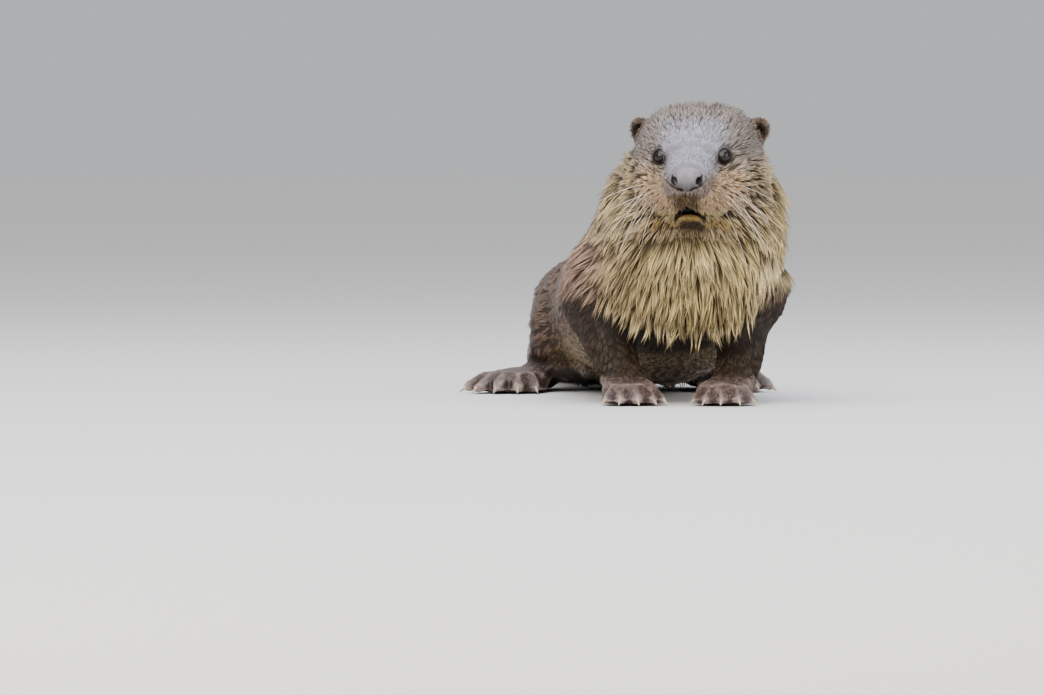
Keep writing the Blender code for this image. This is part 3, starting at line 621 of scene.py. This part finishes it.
for side in (-1, 1):
    place = eye_frame(side)
    bm = bmesh.new()
    bmesh.ops.create_uvsphere(bm, u_segments=56, v_segments=36, radius=EYE_RADIUS_MM * MM)
    bmesh.ops.rotate(bm, verts=bm.verts, matrix=Matrix.Rotation(math.radians(90), 3, "X"))
    for vert in bm.verts:
        off_axis = math.hypot(vert.co.x, vert.co.z) / MM
        if vert.co.y < 0:
            vert.co.y -= CORNEA_PROUD_MM * MM * math.exp(-((off_axis / CORNEA_RADIUS_MM) ** 2))
    ball = bpy.data.meshes.new("eyeball")
    bm.to_mesh(ball)
    bm.free()
    local = coordinates(ball) / MM
    store(ball, "FromPupil", np.hypot(local[:, 0], local[:, 2]) / EYE_RADIUS_MM + (local[:, 1] > 0))
    ball.transform(place)
    smooth_shaded(ball)
    name = "eye_left" if side > 0 else "eye_right"
    piece = link_object(name.replace("eye", "eyeball"), ball, eye_finish)
    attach(piece, "root")
    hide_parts(name)

# ---------------------------------------------------------------- nose
# The bare pad at the end of the muzzle: grey, close-grained, always damp. Its nostrils are commas
# that run out to the sides, and its lower edge dips in the middle.
NOSE_SWELL_MM = 0.25
NOSE_VOXEL_MM = 0.5
NOSE_LEFT_MM = 0.6         # of the head's own middle
NOSTRIL_SIDE_MM = 9.9      # of the middle of the nose
NOSTRIL_UP_MM = -9.4
nose = worked(
    joined(["nose"], NOSE_SWELL_MM),
    ("REMESH", {"mode": "VOXEL", "voxel_size": NOSE_VOXEL_MM * MM}),
    ("SMOOTH", {"factor": 0.5, "iterations": 26}),
)
points, outward = coordinates(nose), normals_of(nose)
ahead, left, up = head_mm(points)
side = np.abs(left - NOSE_LEFT_MM)
front = rise(ahead, 40, 46)
# A round hole, and the slit that runs up and out from it.
hole = np.exp(-(((side - NOSTRIL_SIDE_MM) / 2.7) ** 2 + ((up - NOSTRIL_UP_MM) / 3.2) ** 2) ** 1.5)
comma = np.exp(-(((side - 12.1 - 0.25 * (up + 4)) / 0.8) ** 2 + ((up + 5.0) / 3.2) ** 2))
nostril = np.clip((1.1 * hole + 0.6 * comma) * front, 0, 1)
groove = hump(left, NOSE_LEFT_MM, 0.7) * (1 - rise(up, -16, -9)) * front
push = -4.2 * nostril + 0.8 * hump(side, 4.5, 3.5) * hump(up, -8, 6) * front - 0.8 * groove
pushed = outward * push[:, None] * MM
# The pad is a blunt shield: it narrows a little downwards, and its lower edge comes to a low point.
lift = (2.7 * rise(side, 0.2, 4.2) - 0.8 * rise(side, 6, 11)) * rise(-up, 7, 15)
slim = 1 - (0.06 + 0.16 * rise(-up, 8, 14)) * rise(side, 5, 14)
raise_top = 0.4 + 1.6 * rise(up, -9, -1)
shaped = np.stack([left * slim, -ahead, up + raise_top + lift], 1) * MM
matrix = np.array(HEAD_PLACE)
move_to(nose, shaped @ matrix[:3, :3].T + matrix[:3, 3] + pushed)
grey = np.tile(np.array(linear("716C74")[:3]), (len(points), 1))
# Painted shade darkens the pad inside the nostrils, in the groove down the middle, over the lower half,
# which faces the floor, along the lower edge and on the wings of the nostrils.
overlay_colour_and_light(
    grey,
    (rise(nostril, 0.12, 0.42), "0B0808"),                   # inside the nostrils
    (0.8 * groove, "3A3334"),
    (0.85 * (1 - rise(up, -14.5, -5.0)), "322C2B"),          # the lower half, which faces the floor
    (0.8 * (1 - rise(up, -15.8, -13.2)), "1E1819"),          # the lower edge
    (0.6 * rise(side, 11.5, 14.5), "4A4346"),                # the wings of the nostrils
)
mark(nose, grey)
smooth_shaded(nose)

# Damp bare skin, pebbled by grains of about 0.7 mm.
nose_finish, tree = new_material("nose_pad_damp_leather")
place = add(tree, "ShaderNodeTexCoord").outputs["Object"]
marks = add(tree, "ShaderNodeAttribute", attribute_name="MarkingsAndPaintedLight").outputs["Color"]
grain = add(
    tree, "ShaderNodeTexVoronoi", {"Vector": place, "Scale": to_metre(0.667)}, feature="SMOOTH_F1"
).outputs["Distance"]
tone = add(tree, "ShaderNodeMapRange", {"Value": grain, "To Min": 1.12, "To Max": 0.86}).outputs["Result"]
colour = add(tree, "ShaderNodeVectorMath", {0: marks, 1: tone}, operation="MULTIPLY").outputs[0]
bump = add(tree, "ShaderNodeBump", {"Height": grain, "Strength": 0.45, "Distance": 0.0003}, invert=True)
shader = add(
    tree, "ShaderNodeBsdfPrincipled",
    {"Base Color": colour, "Roughness": 0.36, "Normal": bump.outputs["Normal"],
     "Coat Weight": 0.25, "Coat Roughness": 0.2},
)
add(tree, "ShaderNodeOutputMaterial", {"Surface": shader.outputs["BSDF"]})
nose_piece = link_object("nose_pad", nose, nose_finish)
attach(nose_piece, "root")
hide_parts("nose")

# ---------------------------------------------------------------- claws
# Twenty short curved claws of pale horn, worn blunt, growing out over the end of each toe. The horn
# grows in layers, which show as streaks about 1 mm apart.
horn, tree = new_material("claw_horn_worn")
place = add(tree, "ShaderNodeTexCoord").outputs["Object"]
streaks = add(
    tree, "ShaderNodeTexNoise", {"Vector": place, "Scale": to_metre(1.11), "Detail": 3.0}
).outputs["Fac"]
ramp = add(tree, "ShaderNodeValToRGB", {"Fac": streaks})
stops = ramp.color_ramp.elements
stops[0].position, stops[0].color = 0.3, linear("8F7765")
stops[1].position, stops[1].color = 0.7, linear("D8C7AE")
bump = add(tree, "ShaderNodeBump", {"Height": streaks, "Strength": 0.3, "Distance": 0.0002})
shader = add(
    tree, "ShaderNodeBsdfPrincipled",
    {"Base Color": ramp.outputs["Color"], "Roughness": 0.35, "Normal": bump.outputs["Normal"]},
)
add(tree, "ShaderNodeOutputMaterial", {"Surface": shader.outputs["BSDF"]})
claws = worked(joined(CLAWS, 0), ("SUBSURF", {"levels": 2, "render_levels": 2}))
smooth_shaded(claws)
claws.materials.clear()
claw_piece = link_object("claws", claws, horn)
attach(claw_piece, "root")
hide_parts(*CLAWS)

# ---------------------------------------------------------------- coat
# A wet double coat: dark felted under-fur, and guard hairs drawn together by the water into pointed
# tufts, short on the face, spiky on the crown, and hanging in ropes on the throat and bib.
rng = np.random.default_rng(20)
SHARE = 1.0     # of the tufts
NOSE_TIP = Vector((0, -52, -8))        # in the head's frame, in mm: the coat parts from here


def unit(vectors):
    return vectors / np.maximum(np.linalg.norm(vectors, axis=1, keepdims=True), 1e-9)


def lie_of_coat(points, normals):
    """Which way the coat lies: back from the nose, down the chest and legs, along trunk and tail."""
    x, y, z = body_mm(points)
    nought, one = np.zeros(len(x)), np.ones(len(x))
    tip = np.array(HEAD_PLACE @ (NOSE_TIP * MM))
    back = np.array(HEAD_PLACE.to_3x3() @ Vector((0, 1, 0)))
    below_nose = rise((tip[2] - points[:, 2]) / MM, -4, 14)[:, None]
    from_nose = unit(points - tip) + 0.35 * back + (0.2 + 0.45 * below_nose) * np.array((0, 0, -1))
    centre = np.array(HEAD_PLACE @ Vector((0, 0.022, -0.012)))
    on_head = 1 - rise(np.linalg.norm(points - centre, axis=1) / MM, 50, 84)
    # Down the chest the coat spreads to the animal's right, and draws in to its left foreleg.
    spread = np.where(x < -5, 1.0, 0.4 * rise(z, 50, 110) * (1 - rise(x, 25, 60)))
    fan = (x + 5) / np.maximum(150 - z, 30) * spread - 0.35 * rise(x, 25, 60) * (1 - rise(z, 70, 115))
    down_chest = np.stack([np.clip(fan, -2.2, 0.7), nought, -one], 1)
    along = np.stack([-0.12 * one, one, -0.35 * np.abs(normals[:, 0])], 1)
    # The tail swings to the animal's right, and its tip back to the left.
    tail_bend = np.interp(y, (395, 505, 585, 665, 732, 785), (-0.25, -0.12, 0, 0.17, 0.33, 0.42))
    tail_way = np.stack([tail_bend, one, -0.05 * one], 1)
    down_leg = np.stack([nought, -0.25 * one, -one], 1)
    way = unit(along)
    legs = region_weights(points, normals)["leg"]
    for weight, other in (
        (rise(y, 370, 420), tail_way),
        (rise(-normals[:, 1], -0.25, 0.35) * rise(-y, -90, -30), down_chest),
        (legs * (1 - rise(z, 40, 62)), down_leg),
        (on_head, from_nose),
    ):
        way += (unit(other) - way) * np.clip(weight, 0, 1)[:, None]
    return unit(way - normals * np.sum(way * normals, 1)[:, None])


hide_points = coordinates(hide)
corners = np.empty(len(hide.polygons) * 3, np.int32)
hide.polygons.foreach_get("vertices", corners)
triangles = hide_points[corners.reshape(-1, 3)]
face_across = np.cross(triangles[:, 1] - triangles[:, 0], triangles[:, 2] - triangles[:, 0])
face_area = np.linalg.norm(face_across, axis=1) / 2
face_middle = triangles.mean(1)
smooth_out = normals_of(hide)[corners.reshape(-1, 3)].mean(1)
face_coat = coat_at(face_middle, unit(smooth_out))
face_weights = region_weights(face_middle, unit(smooth_out))

TUFT_FILLS = 0.55          # of the oblong around a tuft


def scatter(chosen, cover):
    """Roots on the chosen faces, as many as cover them so many times over, and the faces' area."""
    tuft_area = TUFT_FILLS * face_coat["length"] * face_coat["width"] * MM**2
    thicker = 1 + 1.4 * face_weights["throat"] - 0.4 * face_weights["cheek_edge"]
    wanted = np.where(chosen, face_area / tuft_area, 0) * cover * SHARE * thicker
    count = int(wanted.sum())
    faces = rng.choice(len(wanted), count, p=wanted / wanted.sum())
    a, b = rng.random(count), rng.random(count)
    over = a + b > 1
    a[over], b[over] = 1 - a[over], 1 - b[over]
    t = triangles[faces]
    roots = t[:, 0] + (t[:, 1] - t[:, 0]) * a[:, None] + (t[:, 2] - t[:, 0]) * b[:, None]
    return roots, unit(smooth_out[faces]), face_area[chosen].sum()


# The colours of each coat piece are unwrapped on a copy of the hide that has few faces.
COARSE_SHARE = 0.05
coarse_hide = worked(hide.copy(), ("DECIMATE", {"ratio": COARSE_SHARE}))
coarse_hide.materials.clear()
coarse_points = [v.co.copy() for v in coarse_hide.vertices]
coarse_faces = [tuple(p.vertices) for p in coarse_hide.polygons]
coarse_tree = BVHTree.FromPolygons(coarse_points, coarse_faces)
PATCH = 0.003              # the side of one tuft's place on the map


def unwrapped_places(roots):
    """Where each root falls on an unwrap of the part of the hide that carries these roots."""
    under = [coarse_tree.find_nearest(root) for root in roots]
    used = sorted({found[2] for found in under})
    bm = bmesh.new()
    bm.from_mesh(coarse_hide)
    kept = set(used)
    bm.faces.ensure_lookup_table()
    bmesh.ops.delete(bm, geom=[f for f in bm.faces if f.index not in kept], context="FACES")
    part = bpy.data.meshes.new("unwrap")
    bm.to_mesh(part)
    bm.free()
    obj = link_object("unwrap", part)
    bpy.ops.object.select_all(action="DESELECT")
    bpy.context.view_layer.objects.active = obj
    obj.select_set(True)
    bpy.ops.object.mode_set(mode="EDIT")
    bpy.ops.mesh.select_all(action="SELECT")
    bpy.ops.uv.smart_project(angle_limit=math.radians(66), island_margin=0.01)
    bpy.ops.object.mode_set(mode="OBJECT")
    flat = np.empty(len(part.loops) * 2, np.float32)
    part.uv_layers.active.data.foreach_get("uv", flat)
    uv = flat.reshape(-1, 3, 2)
    order = {face: row for row, face in enumerate(used)}
    rows = np.array([order[found[2]] for found in under])
    # Each spot's shares of its triangle's three corners give its place on the map.
    t = coordinates(part)[np.array([tuple(p.vertices) for p in part.polygons])][rows]
    spots = np.array([found[0] for found in under])
    e1, e2, e3 = t[:, 1] - t[:, 0], t[:, 2] - t[:, 0], spots - t[:, 0]
    d11, d12, d22 = (e1 * e1).sum(1), (e1 * e2).sum(1), (e2 * e2).sum(1)
    d31, d32 = (e3 * e1).sum(1), (e3 * e2).sum(1)
    low = np.maximum(d11 * d22 - d12 * d12, 1e-20)
    b = ((d22 * d31 - d12 * d32) / low)[:, None]
    c = ((d11 * d32 - d12 * d31) / low)[:, None]
    places = uv[rows, 0] * (1 - b - c) + uv[rows, 1] * b + uv[rows, 2] * c
    bpy.data.objects.remove(obj)
    return np.clip(places, PATCH, 1 - PATCH)


def tuft_shape(sides, cuts):
    """One straight spike, a unit long and a unit in radius, with rings where it can bend."""
    bm = bmesh.new()
    bmesh.ops.create_cone(bm, cap_ends=True, segments=sides, radius1=1, radius2=0, depth=1,
                          matrix=Matrix.Translation((0, 0, 0.5)))
    bmesh.ops.remove_doubles(bm, verts=bm.verts, dist=1e-5)
    for height in cuts:
        bmesh.ops.bisect_plane(bm, geom=bm.verts[:] + bm.edges[:] + bm.faces[:],
                               plane_co=(0, 0, height), plane_no=(0, 0, 1))
    bmesh.ops.triangulate(bm, faces=bm.faces)
    bm.verts.ensure_lookup_table()
    along = np.array([v.co.z for v in bm.verts])
    round_it = unit(np.array([(v.co.x, v.co.y, 0) for v in bm.verts]) + 1e-12)[:, :2]
    round_it[along > 0.999] = 0
    faces = np.array([[v.index for v in f.verts] for f in bm.faces])
    bm.free()
    return along, round_it, faces


def clumped(roots, normals, clump_mm, area, pull):
    """Which clump each tuft is in, how many clumps there are, and how far each tip is drawn in.

    The clumps are about clump_mm apart, and water pulls their tips that share of the way together.
    """
    count = len(roots)
    seeds = rng.choice(count, min(count, int(area / (clump_mm * MM) ** 2)), replace=False)
    nearest = KDTree(len(seeds))
    for row, seed in enumerate(seeds):
        nearest.insert(roots[seed], row)
    nearest.balance()
    member = np.array([nearest.find(root)[1] for root in roots])
    drawn = (roots[seeds][member] - roots) * pull
    drawn -= normals * (drawn * normals).sum(1)[:, None]
    far = np.maximum(np.linalg.norm(drawn, axis=1), 1e-9)
    return member, len(seeds), drawn * np.minimum(1, clump_mm * MM / far)[:, None]


def mesh_of_tufts(name, path, faces):
    """A mesh of many copies of one shape, from each copy's points, and which points its corners are."""
    count, n = path.shape[:2]
    mesh = bpy.data.meshes.new(name)
    mesh.vertices.add(count * n)
    mesh.loops.add(count * faces.size)
    mesh.polygons.add(count * len(faces))
    mesh.vertices.foreach_set("co", path.astype(np.float32).ravel())
    corners = (faces[None] + np.arange(count)[:, None, None] * n).astype(np.int32).ravel()
    mesh.loops.foreach_set("vertex_index", corners)
    mesh.polygons.foreach_set("loop_start", np.arange(0, count * faces.size, 3, dtype=np.int32))
    mesh.update(calc_edges=True)
    smooth_shaded(mesh)
    return mesh, corners


SPREAD = (0.75, 1.2)       # the least and greatest share of a tuft's size in COAT
LIFT_SPREAD = (0.55, 1.35)
OFF_FLOOR_MM = 0.3         # the floor bends back what would reach lower
UNDER_FUR_AND_GAP_SHADE = 0.42     # of a tuft's colours, on the dark tufts: under-fur, and painted shade between clumps


def grow(name, roots, normals, coat, finish, cuts, wave, curl, sides=3, flat=0.55, clump_mm=0, area=0,
         pull=0, ways=None):
    """One coat piece: a spike on every root, bent along the lie of the coat and marked like the hide.

    Each spike sways to the side by wave and bends back by curl, as shares of its length and its rise.
    """
    along, around, faces = tuft_shape(sides, cuts)
    count = len(roots)
    way = lie_of_coat(roots, normals) if ways is None else ways
    across = np.cross(normals, way)
    length = coat["length"] * MM * rng.uniform(*SPREAD, count)
    radius = coat["width"] * MM * 0.5 * rng.uniform(*SPREAD, count)
    lift = np.radians(coat["lift"] * rng.uniform(*LIFT_SPREAD, count))
    sway = rng.normal(0, wave, count)
    drawn = np.zeros((count, 3))
    if clump_mm:         # a clump sways as one, and its tufts half as much within it
        member, clumps, drawn = clumped(roots, normals, clump_mm, area, pull)
        sway = sway * 0.5 + rng.normal(0, wave * 1.6, clumps)[member]
    t = along[None, :, None]
    rise_off = np.sin(lift)[:, None, None] * t - curl * np.sin(lift)[:, None, None] * t**2
    path = (
        roots[:, None] - normals[:, None] * (0.5 * radius)[:, None, None]
        + length[:, None, None] * (np.cos(lift)[:, None, None] * t * way[:, None]
                                   + rise_off * normals[:, None]
                                   + sway[:, None, None] * t**2 * across[:, None])
        + drawn[:, None] * np.minimum(t * 1.3, 1)
    )
    thick = (0.62 + 1.5 * along) * (1 - along) ** 0.75 * (1 + 0.2 * along)       # fullest near half way
    body = radius[:, None, None] * thick[None, :, None]
    path += body * (around[None, :, :1] * across[:, None] + flat * around[None, :, 1:] * normals[:, None])
    path[..., 2] = np.maximum(path[..., 2], OFF_FLOOR_MM * MM)
    mesh, corners = mesh_of_tufts(name, path, faces)
    shade = rng.normal(1, 0.12, count).clip(0.7, 1.3)
    # Some tufts are made dark: partly the under-fur's own colour, partly painted shade in the gaps between
    # clumps.
    shade = shade * np.where(rng.random(count) < coat["dark"], UNDER_FUR_AND_GAP_SHADE, 1)
    # A tuft pales from root to tip: partly the hair's own colour, partly painted shade deep in the wet coat.
    pale = (0.06 + 0.94 * rise(along, 0.02, 0.62))[None, :, None]
    colours = (coat["root"][:, None] + (coat["tip"] - coat["root"])[:, None] * pale) * shade[:, None, None]
    mark(mesh, colours.reshape(-1, 3))
    spots = unwrapped_places([Vector(r) for r in roots])
    offset = np.stack([around[:, 0] * 0.45, along - 0.5 + 0.1 * around[:, 1]], 1) * PATCH
    uv = (spots[:, None] + offset[None]).reshape(-1, 2)[corners]
    layer = mesh.uv_layers.new(name="OFBake")
    layer.data.foreach_set("uv", uv.astype(np.float32).ravel())
    piece = link_object(name, mesh, finish)
    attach(piece, "root")


# Wet guard hair: strands lie side by side in a tuft, drawn coarse at 0.8 mm so that they show, and
# break up the shine. Some patches, about 22 mm across, are wetter, darker and glossier than others.
wet_fur, tree = new_material("guard_hair_wet")
place = add(tree, "ShaderNodeTexCoord").outputs["Object"]
marks = add(tree, "ShaderNodeAttribute", attribute_name="MarkingsAndPaintedLight").outputs["Color"]
strands = add(
    tree, "ShaderNodeTexNoise", {"Vector": place, "Scale": to_metre(0.769), "Detail": 2.0}
).outputs["Fac"]
patches = add(
    tree, "ShaderNodeTexNoise", {"Vector": place, "Scale": to_metre(22.2), "Detail": 2.0}
).outputs["Fac"]
by_strand, by_patch, gloss = (
    add(
        tree, "ShaderNodeMapRange",
        {"Value": noise, "From Min": 0.5 - swing, "From Max": 0.5 + swing, "To Min": least, "To Max": most},
    ).outputs["Result"]
    for noise, swing, least, most in (
        (strands, 0.2, 0.8, 1.18), (patches, 0.15, 0.88, 1.1), (patches, 0.15, 0.36, 0.52)
    )
)
both = add(tree, "ShaderNodeMath", {0: by_strand, 1: by_patch}, operation="MULTIPLY").outputs[0]
colour = add(tree, "ShaderNodeVectorMath", {0: marks, 1: both}, operation="MULTIPLY").outputs[0]
bump = add(tree, "ShaderNodeBump", {"Height": strands, "Strength": 0.3, "Distance": 0.0002})
shader = add(
    tree, "ShaderNodeBsdfPrincipled",
    {"Base Color": colour, "Roughness": gloss, "Normal": bump.outputs["Normal"], "Specular IOR Level": 0.35},
)
add(tree, "ShaderNodeOutputMaterial", {"Surface": shader.outputs["BSDF"]})

# Which faces of the hide each coat piece grows on. The lids, the lips, the skin behind the nose pad
# and the soles stay bare.
SOLE_MM = 1.5              # nothing grows lower than this
fx, fy, fz = body_mm(face_middle)
fa, fl, fu = head_mm(face_middle)
on_skull = np.clip(face_weights["crown"] + face_weights["cheek"], 0, 1) > 0.5
is_ear = face_weights["ear"] > 0.5
is_bare = (face_weights["foot"] > 0.6) | (fz < SOLE_MM)
for side in (-1, 1):
    local = in_mm(face_middle, eye_frame(side))
    around = np.hypot(local[:, 0] / OPENING_MM[side][0], local[:, 2] / OPENING_MM[side][1])
    is_bare |= (around < 1.85) & (np.linalg.norm(local, axis=1) < 10)
is_bare |= ((fl / 12.8) ** 2 + ((fu + 6.8) / 7.2) ** 2 < 1) & (fa > 28)
f_below = (between_eyes.z - face_middle[:, 2]) / MM
f_upper, f_lower = lips(np.abs(fl))
is_bare |= (f_below > f_upper - 0.4) & (f_below < f_lower + 1.0) & (fa > 12) & (np.abs(fl) < 10.5)
FRONT_MM, SHOULDERS_MM, LOINS_MM, RUMP_MM = 75, 170, 262, 372        # how far back each one ends
NECK_MM = 72               # how high the neck begins, over the forelegs
is_bib = (face_weights["bib"] > 0.5) & ~on_skull
is_tail = (fy > RUMP_MM) & ~is_bare
in_front = (fy < FRONT_MM) & ~on_skull & ~is_bib & ~is_bare
is_high = fz >= NECK_MM
trunk = (fy >= FRONT_MM) & (fy <= RUMP_MM) & ~is_bare & ~on_skull
on_cheek = (np.abs(fl) > 25) & (f_below > 3) & on_skull & (fa > -36)
on_face = on_skull & ((fa > -6) | on_cheek) & ~is_bare & ~is_ear
on_crown = on_skull & (fa <= -6) & ~is_bare & ~is_ear & ~on_cheek
foot_top = (face_weights["foot"] > 0.6) & (smooth_out[:, 2] > 0.25) & (fz > 8)

LONG, SHORT = (0.3, 0.66), (0.42,)      # where a tuft can bend, as shares of its length
PIECES = {
    # name: faces, how many times covered, width of a clump (mm), pull, wave, curl, bends
    "coat_face": (on_face & ~on_cheek, 3.7, 2.6, 0.45, 0.08, 0.3, SHORT),
    "coat_cheeks": (on_face & on_cheek, 3.6, 4.2, 0.7, 0.06, 0.45, LONG),
    "coat_crown": (on_crown, 3.4, 3.2, 0.55, 0.05, 0.15, SHORT),
    "coat_ears": (is_ear, 1.9, 0, 0, 0.12, 0.2, SHORT),
    "coat_neck_right": (in_front & (fx < 0) & is_high, 3.0, 5.0, 0.6, 0.08, 0.35, LONG),
    "coat_neck_left": (in_front & (fx >= 0) & is_high, 3.0, 5.0, 0.6, 0.08, 0.35, LONG),
    "coat_foreleg_right": (in_front & (fx < 0) & ~is_high, 2.9, 5.0, 0.6, 0.08, 0.35, LONG),
    "coat_foreleg_left": (in_front & (fx >= 0) & ~is_high, 2.9, 5.0, 0.6, 0.08, 0.35, LONG),
    "coat_bib": (is_bib & ~is_bare, 3.5, 5.0, 0.95, 0.06, 0.5, LONG),
    "coat_shoulders": (trunk & (fy < SHOULDERS_MM), 2.85, 7.0, 0.75, 0.08, 0.4, SHORT),
    "coat_loins": (trunk & (fy >= SHOULDERS_MM) & (fy < LOINS_MM), 3.0, 7.0, 0.75, 0.08, 0.4, SHORT),
    "coat_rump": (trunk & (fy >= LOINS_MM), 3.0, 7.0, 0.75, 0.08, 0.4, SHORT),
    "coat_tail": (is_tail, 2.8, 6.0, 0.7, 0.06, 0.4, SHORT),
    "coat_feet": (foot_top, 0.6, 0, 0, 0.10, 0.3, SHORT),
}
for name, (chosen, cover, clump, pull, wave, curl, bends) in PIECES.items():
    roots, out, area = scatter(chosen, cover)
    grow(name, roots, out, coat_at(roots, out), wet_fur, bends, wave, curl, clump_mm=clump, area=area,
         pull=pull)

# ---------------------------------------------------------------- whiskers
# Long stiff hairs of pale horn, rooted in three rows on each pad of the upper lip. They leave the
# pads sideways and droop under the water on them. The horn's tint drifts every 17 mm or so.
whisker_horn, tree = new_material("whisker_pale_horn")
place = add(tree, "ShaderNodeTexCoord").outputs["Object"]
tint = add(tree, "ShaderNodeTexNoise", {"Vector": place, "Scale": to_metre(16.7)}).outputs["Fac"]
ramp = add(tree, "ShaderNodeValToRGB", {"Fac": tint})
ramp.color_ramp.elements[0].color = linear("B9A78F")
ramp.color_ramp.elements[1].color = linear("F2ECDD")
shader = add(tree, "ShaderNodeBsdfPrincipled", {"Base Color": ramp.outputs["Color"], "Roughness": 0.35})
add(tree, "ShaderNodeOutputMaterial", {"Surface": shader.outputs["BSDF"]})
hide_tree = BVHTree.FromPolygons([Vector(p) for p in hide_points], corners.reshape(-1, 3).tolist())
ROWS_UP_MM = (-17, -22, -27)         # in the head's frame, as is how far ahead each hair is
HAIRS_AHEAD_MM = (38, 30, 22)
LENGTH_MM = (34, 60)                 # the least and the greatest
BESIDE_HEAD_MM = 60                  # each root is looked for from here, straight in
roots, ways, lengths = [], [], []
for side in (-1, 1):
    for up_at in ROWS_UP_MM:
        for ahead_at in HAIRS_AHEAD_MM:
            start = HEAD_PLACE @ (Vector((side * BESIDE_HEAD_MM, -ahead_at, up_at)) * MM)
            middle_at = HEAD_PLACE @ (Vector((0, -ahead_at, up_at)) * MM)
            root = hide_tree.ray_cast(start, (middle_at - start).normalized())[0]
            if root is None:
                continue
            roots.append(root)
            # The lower its row, the further down a hair points.
            out_by, back_by, fall = rng.uniform(0.8, 1), rng.uniform(-0.15, 0.25), rng.uniform(-0.6, -0.15)
            way = Vector((side * out_by, back_by, fall + (up_at + 21) * 0.06))
            ways.append((HEAD_PLACE.to_3x3() @ way).normalized())
            lengths.append(rng.uniform(*LENGTH_MM))
roots, ways = np.array(roots), np.array(ways)
down = np.tile(np.array((0.0, 0.0, -1.0)), (len(roots), 1))
down = unit(down - ways * (down * ways).sum(1)[:, None])
hairs = np.ones(len(roots))
whisker_coat = {
    "length": np.array(lengths), "width": 0.4 * hairs, "lift": 12.0 * hairs, "dark": 0 * hairs,
    "root": np.full((len(roots), 3), 0.5), "tip": np.full((len(roots), 3), 0.8),
}
bends = (0.1, 0.25, 0.4, 0.55, 0.7, 0.85)
grow("whiskers", roots, down, whisker_coat, whisker_horn, bends, wave=0.05, curl=-1.2, sides=5, flat=1,
     ways=ways)
